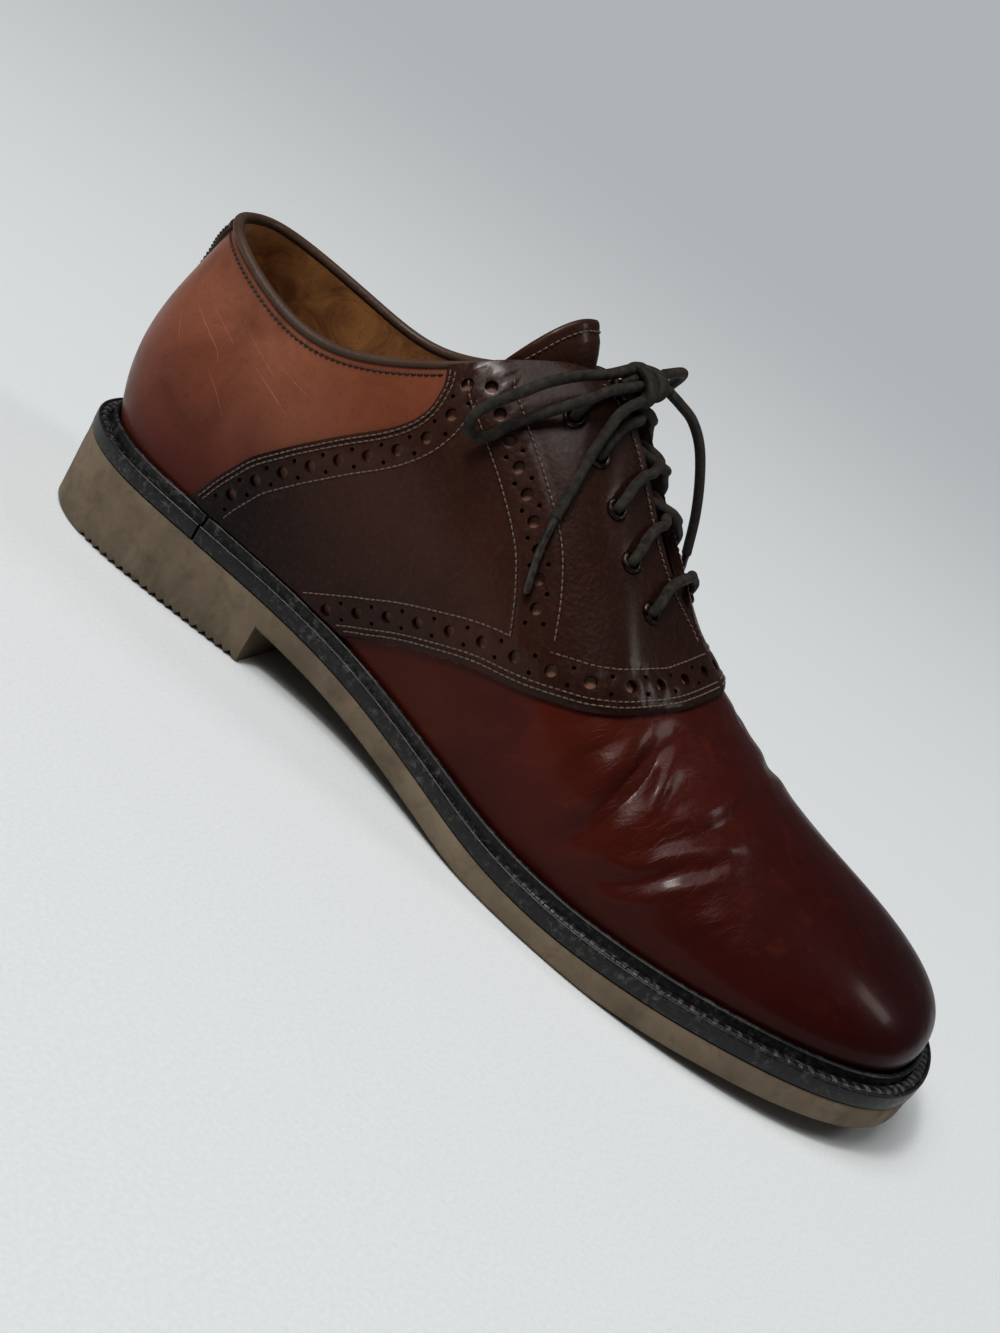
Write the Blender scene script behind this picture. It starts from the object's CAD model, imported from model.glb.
"""Looks of the right saddle oxford with brogue trim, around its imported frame.

The upper is one function of two values: turn runs round the feather line, from the heel back (0) along the
outer side to the toe (1) and home along the inner side (2), and climb runs up a rib from the feather line (0)
to the collar, the throat or the spine (1). Tables are in millimetres and degrees, in a frame whose +X points
to the toe, +Y to the inner side of the foot and +Z up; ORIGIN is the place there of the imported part's own
origin. Camera, lamps and floor are in metres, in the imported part's frame.
"""

import math

import bpy
import numpy as np
from mathutils import Matrix, Vector
from mathutils.geometry import delaunay_2d_cdt


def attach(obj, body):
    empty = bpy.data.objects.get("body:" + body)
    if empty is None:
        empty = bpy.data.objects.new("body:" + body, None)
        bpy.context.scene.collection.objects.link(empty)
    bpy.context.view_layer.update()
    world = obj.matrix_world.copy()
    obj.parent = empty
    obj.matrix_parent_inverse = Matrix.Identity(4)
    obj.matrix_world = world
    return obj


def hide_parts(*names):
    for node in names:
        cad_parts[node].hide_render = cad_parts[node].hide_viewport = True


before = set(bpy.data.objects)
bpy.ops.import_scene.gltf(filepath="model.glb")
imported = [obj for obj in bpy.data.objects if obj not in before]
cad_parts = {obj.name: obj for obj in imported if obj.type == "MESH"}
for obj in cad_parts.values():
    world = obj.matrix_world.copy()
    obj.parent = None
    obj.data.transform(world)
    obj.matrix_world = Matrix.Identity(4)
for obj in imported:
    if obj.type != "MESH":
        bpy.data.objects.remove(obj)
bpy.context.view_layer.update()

MM = 0.001
ORIGIN = np.array([141.1663, -1.2505, 0.0])
SIDES = ("lateral", "medial")
TINY = 1e-9
SLOPE_STEP = 1e-3
FINE_STEP = 1e-4
SHARP_ANGLE = 50.0

CAMERA_PLACE = (0.0812, -0.4056, 0.1857)
CAMERA_AIM = (-0.0032, -0.0187, 0.0433)
CAMERA_ROLL = 33.8
CAMERA_LENS = 41.4
SENSOR_HEIGHT = 36.0
CAMERA_NEAR = 0.01

FLOOR_HUB = 0.05
FLOOR_RADIUS = 40.0
FLOOR_RINGS = 40
FLOOR_SIDES = 96
FLOOR_TONES = ((213, 217, 219), (221, 224, 225))
CEILING_WAY = (0.3, 0.35, -1.0)
AIR_COLOUR = (0.92, 0.95, 1.0)
AIR_LIGHT = 0.1
CEILING_LIGHT = 1.6
CEILING_ANGLE = 50.0
LAMP_AIM = (0.0, 0.0, 0.05)
# Lamps that draw the highlights: name, place, width and height, power, colour.
LAMPS = (
    ("key", (-0.45, -0.7, 1.2), (0.26, 0.18), 6.0, (1.0, 0.97, 0.93)),
    ("toe_side", (0.9, 0.25, 1.0), (0.25, 0.4), 2.0, (1.0, 0.98, 0.95)),
)

# Plain finishes: a colour, or a darker and a lighter one.
DARK_LEATHER = (62, 38, 29)
TAB_LEATHER = (68, 51, 42)
BINDING_LEATHER = (84, 66, 56)
TAN_THREAD = ((76, 60, 51), (122, 102, 89))
DARK_THREAD = ((36, 22, 18), (62, 40, 32))
SCRATCH_POLISH = ((136, 78, 54), (164, 106, 78))
AGLET_PLASTIC = ((30, 27, 24), (66, 58, 50))

# Leather: thicknesses, heights over the upper's own surface, and where things end on it.
WALL = 2.0
LEATHER = 1.05
LINING_GAP = 0.02
LINING_TOP_CLIMB = 0.9
LINING_CORNER_TURN = 0.01
UPPER_HOLE = 2.6
SADDLE_TOP = 1.85
SADDLE_UNDER = 0.08
SADDLE_LOW_CLIMB = 0.052
SADDLE_MIDDLE_X = 125.0
INSIDE_HEIGHT = 45.0
TAB_TOP = 1.5
TAB_UNDER = 0.06
TAB_EDGE_DROP = 0.6
TAB_SEWN_CLIMB = 0.62
TAB_STITCH_TURN = 0.0045
TAB_STITCH_DEEP = 0.05
BINDING_HALF_WIDTH = 1.7
BINDING_HALF_HEIGHT = 1.5
BINDING_SAG = 0.25
BINDING_LIFT = 1.15
BINDING_INWARD = 0.5
BINDING_SIDES = 16
BELOW_COLLAR_CLIMB = 0.995
COLLAR_STITCH = 1.9
COLLAR_STITCH_OVER = 0.1
COLLAR_STITCH_RADIUS = 0.32
COLLAR_STITCH_END_X = 99.0
UNDER_COLLAR = np.array([40.0, 0.0, 30.0])
EDGE_CLIMB = 0.999
SCRATCH_OVER = 0.025
SCRATCH_DEEP = 0.1

TONGUE_CLEAR = 0.6
TONGUE_THICK = 2.0
TONGUE_FRONT_X = 188.0
TONGUE_STITCH = 3.2
TONGUE_ARCH = 2.8
TONGUE_FLAT = 0.34
TONGUE_SIDE_CLIMB = 0.2
TONGUE_SMOOTHED = 8
TONGUE_EDGE = 6.0
TONGUE_EDGE_ROUND = 2.2
TONGUE_EDGE_THIN = 0.25
TONGUE_PUFF = 0.45
TONGUE_PUFF_EDGE = 3.5
TONGUE_PUFF_REACH = (30, 20)

WELT_INWARD = 10.0
WELT_THICK = 5.0
WELT_JOINT_X = 47.0
WELT_JOINT_TURN = 0.0012
LIP_CLEAR = 0.3
LIP_HEIGHT = 2.6
LIP_WIDTH = 1.7
SOLE_THICK = 7.5
SOLE_INWARD = 0.15
SOLE_BELOW_WELT = 0.6
HEEL_BREAST_X = 76.0
HEEL_TEETH_X = (16.0, 73.0)
TOOTH = 1.5
SOLE_EASE = 1.1
INSOLE_THICK = 3.0
INSOLE_INSET = 2.7
SOCK_SUNK = 0.5
SOCK_CUP = 0.7
SOCK_UNDER = 0.1

EYELET_FIRST_X = 161.0
EYELET_LAST_X = 118.5
EYELET_ROWS = 5
EYELET_XS = np.linspace(EYELET_FIRST_X, EYELET_LAST_X, EYELET_ROWS)
EYELET_STEP = EYELET_XS[1] - EYELET_XS[0]
EYELET_INSET = 17.0
EYELET_RADIUS = 3.2
EYELET_BORE = 1.8
EYELET_HOLE = 2.45
LACE_RADIUS = 1.5
LACE_OVER = SADDLE_TOP + 0.3 + LACE_RADIUS
LACE_STEP = 0.5
CORD_STEP = 0.6
AGLET_RADIUS = 1.02
KNOT_X = 122.4
KNOT_LIFT = 4.45
KNOT_HALF_HEIGHT = 4.2

# One row for each rib, from the heel back to the toe tip. foot: the feather line on the outer and inner side;
# crest: the collar, throat edge or spine that the rib ends on, with med_up the extra height of the inner
# side; flare and rise: how the rib leaves the feather line; lean and crown: how it arrives at the crest;
# pitch: the fall of the spine; reach: how far the welt stands out.
LAST_COLUMNS = (
    "foot_x", "foot_lat", "foot_med", "foot_z", "crest_x", "crest_half", "crest_z", "med_up",
    "flare", "rise", "lean", "crown", "pitch", "reach",
)
LAST_ROWS = (
    (-5, 0, 0, 30.6, -3.5, 0, 97.6, 0, 24, 31, 80, 22, 0, 7),
    (-1, 16.5, 16.5, 30.2, -1, 10, 96.8, 1, 21, 30, 80, 22, 0, 6.7),
    (11, 27, 27, 29.4, 7.5, 18, 93.8, 3, 16, 28, 78, 22, 0, 5.7),
    (36, 31.5, 31.5, 28, 32, 25.5, 87.5, 6, 10, 24, 76, 20, 0, 4.6),
    (70, 30.5, 28.5, 25.6, 60, 28, 90.5, 3, 7, 22, 72, 22, 0, 4),
    (100, 30.3, 25.2, 22.2, 83, 25.5, 103.2, 1, 8, 26, 62, 26, 0, 3.6),
    (126, 33.8, 27.5, 18.4, 99, 17, 115.1, 0, 11, 30, 42, 28, 11, 4),
    (146, 39, 31.5, 15.6, 113, 6.5, 120.2, 0, 13, 32, 26, 28, 27, 4.6),
    (162, 43.5, 35.8, 13.6, 127.3, 5, 115.3, 0, 14, 30, 22, 28, 36, 5.2),
    (180, 47, 40.6, 12.4, 144, 5, 101, 0, 15, 28, 18, 28, 38, 5.8),
    (198, 48.6, 44.2, 12.4, 161, 5, 86.8, 0, 16, 24, 13, 28, 36, 6.2),
    (209, 48.7, 45.5, 13, 172, 0, 79, 0, 17, 22, 10, 27, 32, 6.4),
    (225, 47.7, 46, 14.2, 188, 0, 70, 0, 18, 20, 7, 26, 28, 6.6),
    (247, 44, 43, 16.5, 208, 0, 60, 0, 20, 18, 4, 25, 22, 6.8),
    (267, 36.6, 35.7, 18.4, 226, 0, 53.6, 0, 22, 18, 2, 24, 16, 7),
    (281, 25.5, 25.2, 19.8, 239, 0, 50.2, 0, 24, 19, 0, 24, 14, 7),
    (288, -1.5, 1.5, 20.4, 246, 0, 48.5, 0, 25, 19, 0, 25, 13, 7),
)
COLLAR_CORNER_ROW = 7
THROAT_END_ROW = 11
SPINE_TIP_Y = 1.5
SPINE_STEP = 0.002
SPINE_ROUND = 10.0
SPINE_FADE = 14.0
TOE_SLOPE_ROW = -200
CLIMB_WEIGHT = 100
TABLE_STEP = 0.5

# Saddle edges: the turn, told by the x of the feather line, that each edge has at a climb.
SADDLE_COLUMNS = ("climb", "rear_x", "front_x")
SADDLE_ROWS = (
    (0.0, 37.3, 94),
    (0.1, 41, 105.5),
    (0.2, 44, 122.8),
    (0.3, 47.7, 157),
    (0.4, 52, 179),
    (0.5, 58.7, 193.8),
    (0.6, 67.5, 205),
    (0.7, 80.3, 213.8),
    (0.8, 100.5, 220),
    (0.9, 103.4, 224.2),
    (1.0, 99.3, 226.7),
)

# Brogue bands: how far from the saddle's edge each row of stitches and the line of holes runs.
REAR_STITCHES = (1.2, 2.5, 10.4)
REAR_HOLES = 6.4
FRONT_STITCHES = (1.9, 3.4, 11.8)
FRONT_HOLES = 7.4
BAND_HALF_WIDTH = 6.4
BAND_STITCH = 5.7
THROAT_STITCH = 2.3
THROAT_STITCH_PAST = (0.004, 0.015)
BAND_STEP = 0.004
BAND_AHEAD_X = 200.0
# Rows of holes: the line, their pitch, and the bare lengths at its two ends.
HOLE_ROWS = (("band", 7.6, 3.0, 1.0), ("front_holes", 10.2, 4.5, 0.8), ("rear_holes", 8.8, 4.0, 2.0))
HOLE_RADIUS = 1.7
PINHOLE_RADIUS = 0.62
PINHOLE_SPREAD = 2.3
PINHOLE_SIDES = 7
HOLE_SIDES = 16
HOLE_COLLAR = 0.45
HOLE_BRIDGE = 0.7
HOLE_CLIMBS = (SADDLE_LOW_CLIMB + 0.03, 0.975)
HOLE_FLOOR = (146, 110, 92)
THROAT_EDGE = (44, 26, 20)
THROAT_EDGE_CLIMBS = (0.955, 0.97)
COVERED_FROM = (1.0, 3.0)

# Relief of the saddle's top: height and width of each form.
BAND_RAISE, BAND_SLOPE = 0.5, 0.9
EDGE_ROLL, EDGE_ROLL_WIDTH = 0.75, 1.3
STITCH_SINK, STITCH_SINK_WIDTH = 0.28, 0.75
HOLE_ROW_RAISE, HOLE_ROW_WIDTH = 0.3, 3.2
HOLE_RIM_SINK, HOLE_RIM_WIDTH, HOLE_RIM_REACH = 0.16, 0.5, 2.0

# The saddle's triangles are laid out on a plane whose axes are turn and climb, at about their real lengths.
PLANE = np.array([345.0, 85.0])
GRID_STEP = (1.35, 1.2)
GRID_SHIFT = 0.67
EDGE_ROWS = (0.4, 0.9)
EDGE_CLEAR = 1.3
HOLE_CLEAR = 0.35
EDGE_STEP = 0.8

# Stitches, and the shape of one: places along it as shares of half its length, with their lift and thickness
# as shares of its radius.
STITCH_PITCH = 1.85
STITCH_LENGTH = 1.4
STITCH_RADIUS = 0.25
STITCH_DEEP = 0.1
STITCH_SIDES = 6
STITCH_CLIMBS = (0.06, 0.992)
STITCH_SHAPE = ((-1.0, -0.7, 0.75), (-0.6, 0.45, 1.0), (0.0, 0.75, 1.0), (0.6, 0.45, 1.0), (1.0, -0.7, 0.75))

# The band between the facing and the side: (x of the feather line, climb) down its middle.
BAND_LINE = (
    (118.5, 0.925), (124.5, 0.84), (130.5, 0.772), (139, 0.68), (147, 0.612), (153, 0.572), (157.8, 0.536),
    (161.2, 0.48), (162.6, 0.43), (163, 0.41),
)

# Flex creases of the vamp: name, depth, half width, height of the swells beside them, and points as x of the
# feather line and climb. A ridge has a negative depth.
CREASES = (
    ("main fold", 1.7, 3.0, 1.1,
     ((215, 0.64), (208, 0.5), (203, 0.41), (198, 0.33), (192, 0.24), (184, 0.15))),
    ("standing ridge", -1.0, 2.3, -0.3, ((217, 0.63), (214, 0.57), (212, 0.48), (210, 0.39), (209, 0.33))),
    ("long fold", 1.0, 2.6, 0.6, ((252, 0.9), (244, 0.73), (236, 0.6), (227, 0.49), (218, 0.4), (210, 0.3))),
    ("lower fold", 1.1, 2.2, 0.8, ((233, 0.47), (226, 0.4), (219, 0.33), (209, 0.23), (199, 0.16))),
    ("faint line", 0.45, 2.0, 0.2, ((198, 0.48), (191, 0.4), (183, 0.31))),
    ("small swell", -0.4, 2.0, -0.1, ((236, 0.37), (233, 0.31), (230, 0.26))),
    ("crest wrinkle", 0.4, 1.6, 0.2, ((237, 0.9), (231, 0.8), (226, 0.73))),
    ("between folds", 0.35, 1.5, 0.2, ((240, 0.56), (233, 0.46), (226, 0.37))),
)
MEDIAL_CREASE_SHARE = 0.75
MEDIAL_CREASE_BACK = 3.0
CREASE_STEP = 3.0
CREASE_END = 0.05
CREASE_TAPER = 0.7
CREASE_LOW_CLIMB = 0.12
SWELL_AWAY = 2.1
SWELL_WIDTH = 1.2
FLEX_REACH = 11.0
FLEX_SHARE = 0.8

TONE_SPREAD = 1.2
# Tones of the burnished leather: name, x of the feather line, climb, spread, and red, green, blue.
TONES = (
    ("heel, low", 0, 0.12, 22, 78, 27, 20),
    ("heel, middle", 4, 0.5, 22, 140, 89, 69),
    ("heel, top", 8, 0.88, 20, 130, 82, 64),
    ("quarter, low", 30, 0.1, 22, 66, 19, 12),
    ("quarter, middle", 28, 0.5, 20, 100, 45, 31),
    ("quarter, top", 34, 0.82, 20, 160, 110, 86),
    ("quarter, front", 82, 0.93, 24, 118, 68, 48),
    ("vamp, rear corner", 122, 0.17, 20, 76, 27, 11),
    ("vamp, low", 175, 0.07, 24, 58, 15, 8),
    ("vamp, side", 188, 0.34, 24, 86, 32, 20),
    ("vamp, top", 222, 0.92, 28, 62, 21, 15),
    ("vamp, front", 226, 0.4, 22, 70, 25, 18),
    ("toe, low", 252, 0.12, 26, 56, 16, 13),
    ("toe, top", 260, 0.75, 26, 54, 14, 14),
    ("toe, tip", 287, 0.4, 26, 42, 11, 13),
)
# The same for the dark leather of the saddle.
SADDLE_TONES = (
    ("rear corner", 50, 0.12, 20, 13, 4, 3),
    ("lower front", 100, 0.14, 22, 32, 11, 7),
    ("middle", 112, 0.48, 26, 68, 39, 29),
    ("top", 105, 0.9, 22, 50, 30, 23),
    ("facing", 160, 0.8, 26, 44, 23, 17),
    ("front", 205, 0.9, 26, 42, 21, 15),
)

# Tongue above the collar: its middle, half its width, and how far its edges lie back and down.
TONGUE_TOP_ROWS = (
    (109.6, 119.3, 13.2, 8, 8.5),
    (107.2, 124.4, 15.2, 10.5, 12.6),
    (104.6, 129.2, 16.6, 11, 18),
    (102.6, 132.4, 17.6, 10.8, 22.4),
)
TONGUE_FACING = (0.86, 0.0, 0.5)

# Heel tab: half its width, as a share of turn, at each climb.
TAB_ROWS = (
    (0.05, 0.007), (0.2, 0.007), (0.4, 0.008), (0.6, 0.010), (0.7, 0.014), (0.8, 0.024), (0.9, 0.044),
    (0.985, 0.062),
)

# Scratches on the outer heel quarter: width and (x of the feather line, climb) points.
SCRATCHES = (
    (0.3, ((10.7, 0.7), (14, 0.69), (19.1, 0.671), (25.8, 0.642), (28, 0.6))),
    (0.28, ((37.8, 0.735), (46.9, 0.704), (56.4, 0.655))),
    (0.2, ((14, 0.76), (22, 0.75), (31, 0.72))),
    (0.18, ((30, 0.83), (40, 0.79), (50, 0.745))),
    (0.18, ((8, 0.62), (11, 0.56), (15, 0.5))),
    (0.18, ((44, 0.83), (54, 0.8), (64, 0.765))),
    (0.16, ((26, 0.55), (32, 0.5), (37, 0.44))),
)

# A strand from an eyelet to the throat's edge: shares of its way, and heights over the upper.
STRAND_ROUTE = (
    (-0.03, -2.6), (-0.02, 0.6), (0.03, 2.3), (0.2, LACE_OVER + 0.2), (0.45, LACE_OVER + 0.1),
    (0.75, LACE_OVER), (1.0, LACE_OVER),
)

# Lacing: depths under a strand's usual height, and shares of the step from row to row.
BAR_SUNK = 0.2
CROSSING_SUNK, CROSSING_RISE = 1.3, 1.6
CROSSING_AHEAD, CROSSING_MIDDLE, CROSSING_FAR = 0.3, 0.34, 0.72
TOP_AHEAD = -0.35

# The end of a crossing, tucked in under the far edge: climbs, and heights over the upper.
CROSSING_TUCK = ((1.0, -0.9), (0.985, -2.6))

# Knot: places of the top strands' ends about its middle, then sizes and degrees of the turns that make it.
INTO_KNOT = ((-1.4, 2.6, -3.0), (0.4, 0.4, -1.6))
COIL_DEGREES, COIL_HALF_SIZE, COIL_BULGE = (-200, 600), (4.5, 3.7, 3.3), 0.16
CORE_HALF_LENGTH, CORE_RADIUS = 4.4, 3.1
TUCK_DEGREES, TUCK_RADIUS, TUCK_REACH = (-30, 210), 2.9, 4.4
RING_DEGREES, RING_RADII, RING_RUN = (-100, 600), (5.0, 3.1), (-1.6, 3.0)
RING_WAYS = np.array([(0.83, 0.0, -0.56), (0.56, 0.0, 0.83)])
WEDGE_LENGTH, WEDGE_RADIUS, WEDGE_TAPER = 6.5, 1.5, 0.6

# Corners of the welt's profile that lie on its wheeled top, and the mark that they carry for the material.
WHEELED_CORNERS = range(9, 13)
WHEELED_MARK = 3.5

# Bow: points of each cord.
LOOP_LATERAL = (
    (119.6, -5, 127.9), (117.6, -14.9, 124.6), (114.8, -18.4, 122.4), (111.9, -22.7, 119.8),
    (108.4, -28.2, 115.6), (105.6, -33.6, 110.6), (103.3, -37.3, 106.9), (101.5, -39.4, 103.5),
    (100.3, -40.1, 100.3), (100, -39, 97.5), (101, -37.4, 95.4), (103.1, -35.1, 95.2), (105.1, -33, 97.3),
    (106.4, -30.9, 100.6), (109, -28.3, 104.7), (112.3, -26.7, 109), (116.4, -24.6, 114.4),
    (119.3, -21.9, 118.6), (121.3, -18.3, 121.8), (123.5, -7, 124.8),
)
LOOP_MEDIAL = (
    (125.2, 5.1, 130), (126.6, 14.6, 131.8), (126.2, 20.4, 130.6), (123.7, 26, 126), (120.2, 30, 119),
    (116.2, 32, 111.4), (111.4, 31.8, 106.4), (106.6, 29.4, 106.2), (104.4, 25.2, 110.2),
    (106.2, 20.6, 115.8), (110.6, 15.6, 120.9), (115.8, 10.9, 123.8), (120.6, 5.9, 124.8),
)
END_LATERAL = (
    (127, -5, 122.9), (126.6, -16.4, 119.1), (127, -20.4, 113.8), (127.7, -23.9, 108.2),
    (128.8, -27.1, 102.2), (130.3, -31, 96.1), (131.2, -33.8, 90.9),
)
AGLET_LATERAL = ((131.5, -34.3, 89.8), (133.9, -38, 80.8), (137.7, -41.2, 71.1))
END_MEDIAL = (
    (129.6, 4.6, 127), (133, 8, 125.6), (137.4, 12.8, 123.2), (142.2, 17.8, 117.8), (146.8, 23, 109.2),
    (150.9, 27.7, 99.2), (154, 31.9, 88.8),
)
AGLET_MEDIAL = ((154.2, 32.2, 88), (156.6, 35.4, 78.6), (158.9, 38.4, 68.8))


# The last's surface.


def column(rows, names, name):
    return np.array([row[names.index(name)] for row in rows], float)


def cyclic_spline(knots, values, period):
    """A smooth closed curve through values at knots, with equal slopes and bends where its pieces meet."""
    count = len(knots)
    span = np.diff(np.append(knots, knots[0] + period))
    slope = (np.roll(values, -1, axis=0) - values) / span[:, None]
    matrix = np.zeros((count, count))
    for i in range(count):
        matrix[i, i - 1] += span[i - 1]
        matrix[i, i] += 2 * (span[i - 1] + span[i])
        matrix[i, (i + 1) % count] += span[i]
    bend = np.linalg.solve(matrix, 6 * (slope - np.roll(slope, 1, axis=0)))

    def at(place):
        place = np.asarray(place, float) % period
        i = np.clip(np.searchsorted(knots, place, side="right") - 1, 0, count - 1)
        j = (i + 1) % count
        width = span[i][..., None]
        after = place[..., None] - knots[i][..., None]
        before = width - after
        curve = (bend[i] * before**3 + bend[j] * after**3) / (6 * width)
        line_i = (values[i] / width - bend[i] * width / 6) * before
        line_j = (values[j] / width - bend[j] * width / 6) * after
        return curve + line_i + line_j

    return at


def last_spline():
    """The rib table as one closed spline over turn, with the turn of each row."""
    table = {name: column(LAST_ROWS, LAST_COLUMNS, name) for name in LAST_COLUMNS}
    shared = [table[name] for name in ("flare", "rise", "lean", "crown", "pitch", "reach")]
    outer = np.stack(
        [table["foot_x"], -table["foot_lat"], table["foot_z"],
         table["crest_x"], -table["crest_half"], table["crest_z"], *shared], 1)
    inner = outer.copy()
    inner[:, 1] = table["foot_med"]
    inner[:, 4] = table["crest_half"]
    inner[:, 5] += table["med_up"]
    steps = [np.linalg.norm(np.diff(side[:, :2], axis=0), axis=1) for side in (outer, inner)]
    turns = np.append(0, np.cumsum(sum(steps)))
    turns /= turns[-1]
    knots = np.append(turns, 2 - turns[-2:0:-1])
    return cyclic_spline(knots, np.concatenate([outer, inner[-2:0:-1]]), 2.0), turns


LAST, ROW_TURNS = last_spline()
# Columns of the spline after those of the foot (0 to 2) and the crest (3 to 5).
FLARE, RISE, LEAN, CROWN, PITCH, REACH = range(6, 12)
CORNER_TURN = ROW_TURNS[COLLAR_CORNER_ROW]
THROAT_TURN = ROW_TURNS[THROAT_END_ROW]
THROAT_END_X, SPINE_END_X = column(LAST_ROWS, LAST_COLUMNS, "crest_x")[[THROAT_END_ROW, -1]]
FINE_TURNS = np.linspace(0, 1, 4001)
FINE = LAST(FINE_TURNS)
RIB_CLIMBS = np.linspace(1, 0.4, 241)


def turn_at_foot(x):
    """The turn on the outer side where the feather line is at x."""
    return np.interp(x, FINE[:, 0], FINE_TURNS)


def turn_at_crest(x):
    """The turn on the outer side where the collar, throat or spine is at x."""
    return np.interp(x, FINE[:, 3], FINE_TURNS)


def closed_over(turn):
    """True where the two sides meet along the spine, ahead of the throat."""
    turn = np.asarray(turn, float) % 2
    return (turn > THROAT_TURN - TINY) & (turn < 2 - THROAT_TURN + TINY)


def foot(turn):
    return LAST(turn)[..., :3]


def reach(turn):
    return LAST(turn)[..., REACH]


def crest(turn):
    turn = np.asarray(turn, float) % 2
    closed = closed_over(turn)
    point = LAST(np.where(closed, np.minimum(turn, 2 - turn), turn))[..., 3:6].copy()
    side = np.where(turn < 1, -1, 1)
    spine = SPINE_TIP_Y * np.clip((point[..., 0] - THROAT_END_X) / (SPINE_END_X - THROAT_END_X), 0, 1)
    point[..., 1] = spine + np.where(closed, 0, side * np.maximum(side * point[..., 1], 0))
    return point


def outward(turn):
    """The level direction out of the feather line."""
    turn = np.asarray(turn, float)
    along = foot(turn + SLOPE_STEP) - foot(turn - SLOPE_STEP)
    return unit(np.stack([along[..., 1], -along[..., 0], 0 * along[..., 0]], -1))


def surface(turn, climb):
    """A point of the outside of the upper: a rib is one cubic from the feather line to the crest."""
    turn, climb = np.broadcast_arrays(np.asarray(turn, float), np.asarray(climb, float))
    row = LAST(turn)
    flare, lean, pitch = (np.radians(row[..., i, None]) for i in (FLARE, LEAN, PITCH))
    out = outward(turn)
    ahead, across, up = np.eye(3)
    inward = -out[..., 1:2] * across - out[..., 0:1] * (np.cos(pitch) * ahead - np.sin(pitch) * up)
    above = np.sin(pitch) * ahead + np.cos(pitch) * up
    start = row[..., :3]
    end = crest(turn)
    leave = start + row[..., RISE, None] * (np.cos(flare) * up + np.sin(flare) * out)
    arrive = end - row[..., CROWN, None] * (np.cos(lean) * inward + np.sin(lean) * above)
    t = climb[..., None]
    r = 1 - t
    return r**3 * start + 3 * r * r * t * leave + 3 * r * t * t * arrive + t**3 * end


def one_sided_normal(turn, climb):
    low = np.where(np.abs(turn % 2 - THROAT_TURN) < SLOPE_STEP, 0.0, SLOPE_STEP)
    along = surface(turn + SLOPE_STEP, climb) - surface(turn - low, climb)
    rise = surface(turn, climb + SLOPE_STEP) - surface(turn, climb - SLOPE_STEP)
    return unit(np.cross(along, rise))


def normal_at(turn, climb):
    """The outward normal, the same from both sides along the spine."""
    turn, climb = np.broadcast_arrays(np.asarray(turn, float), np.asarray(climb, float))
    shared = closed_over(turn) & (climb > 1 - TINY)
    climb = np.where(shared, 1 - SPINE_STEP, climb)
    normal = one_sided_normal(turn, climb)
    return unit(np.where(shared[..., None], normal + one_sided_normal(2 - turn, climb), normal))


def offset_surface(turn, climb, height):
    return surface(turn, climb) + np.asarray(height, float)[..., None] * normal_at(turn, climb)


def climb_below_crest(turn, distance):
    """The climb at a distance down the rib from its crest."""
    return np.interp(distance, run_length(surface(turn, RIB_CLIMBS)), RIB_CLIMBS)


def seat_height(x):
    """The height of the feather line at x, the same right across the shoe and straight on past its ends."""
    xs, zs = FINE[:, 0], FINE[:, 2]
    slope = (zs[-1] - zs[TOE_SLOPE_ROW]) / (xs[-1] - xs[TOE_SLOPE_ROW])
    return np.interp(x, xs, zs) + np.maximum(x - xs[-1], 0) * slope


def on_side(turn, side):
    """A turn of the outer side, or its match on the inner side."""
    return turn if side == "lateral" else 2 - turn


def step_on_surface(turn, climb, move):
    """Turn and climb after a small move along the surface, in millimetres."""
    along = (surface(turn + FINE_STEP, climb) - surface(turn - FINE_STEP, climb)) / (2 * FINE_STEP)
    rise = (surface(turn, climb + FINE_STEP) - surface(turn, climb - FINE_STEP)) / (2 * FINE_STEP)
    aa, ar, rr = (np.sum(p * q, axis=-1) for p, q in ((along, along), (along, rise), (rise, rise)))
    am, rm = np.sum(along * move, axis=-1), np.sum(rise * move, axis=-1)
    scale = aa * rr - ar * ar
    return turn + (rr * am - ar * rm) / scale, climb + (aa * rm - ar * am) / scale


def across_line(turns, climbs):
    """Directions on the surface, square to a line on it."""
    return unit(np.cross(normal_at(turns, climbs), np.gradient(surface(turns, climbs), axis=0)))


def inset(turns, climbs, distance, toward, longest_step=1.5):
    """A curve on the surface moved sideways, to the side on which the point toward lies."""
    steps = max(1, math.ceil(abs(distance) / longest_step))
    sign = np.sign(np.sum(across_line(turns, climbs) * (toward - surface(turns, climbs))))
    for _ in range(steps):
        move = across_line(turns, climbs) * (sign * distance / steps)
        turns, climbs = step_on_surface(turns, climbs, move)
    return turns, climbs


# Shapes.


def unit(vectors):
    return vectors / np.linalg.norm(vectors, axis=-1, keepdims=True)


def run_length(points):
    return np.append(0, np.cumsum(np.linalg.norm(np.diff(points, axis=0), axis=1)))


def smoothstep(low, high, value):
    share = np.clip((value - low) / (high - low), 0, 1)
    return share * share * (3 - 2 * share)


def rows_at(places, lengths, rows):
    """Rows of values at places along a line, from the rows at given lengths of it."""
    rows = np.asarray(rows, float)
    return np.stack([np.interp(places, lengths, rows[:, i]) for i in range(rows.shape[1])], -1)


def resample(points, step):
    """Places along a polyline, evenly spread, about a step apart."""
    lengths = run_length(np.asarray(points, float))
    return rows_at(np.linspace(0, lengths[-1], max(2, round(lengths[-1] / step) + 1)), lengths, points)


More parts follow.
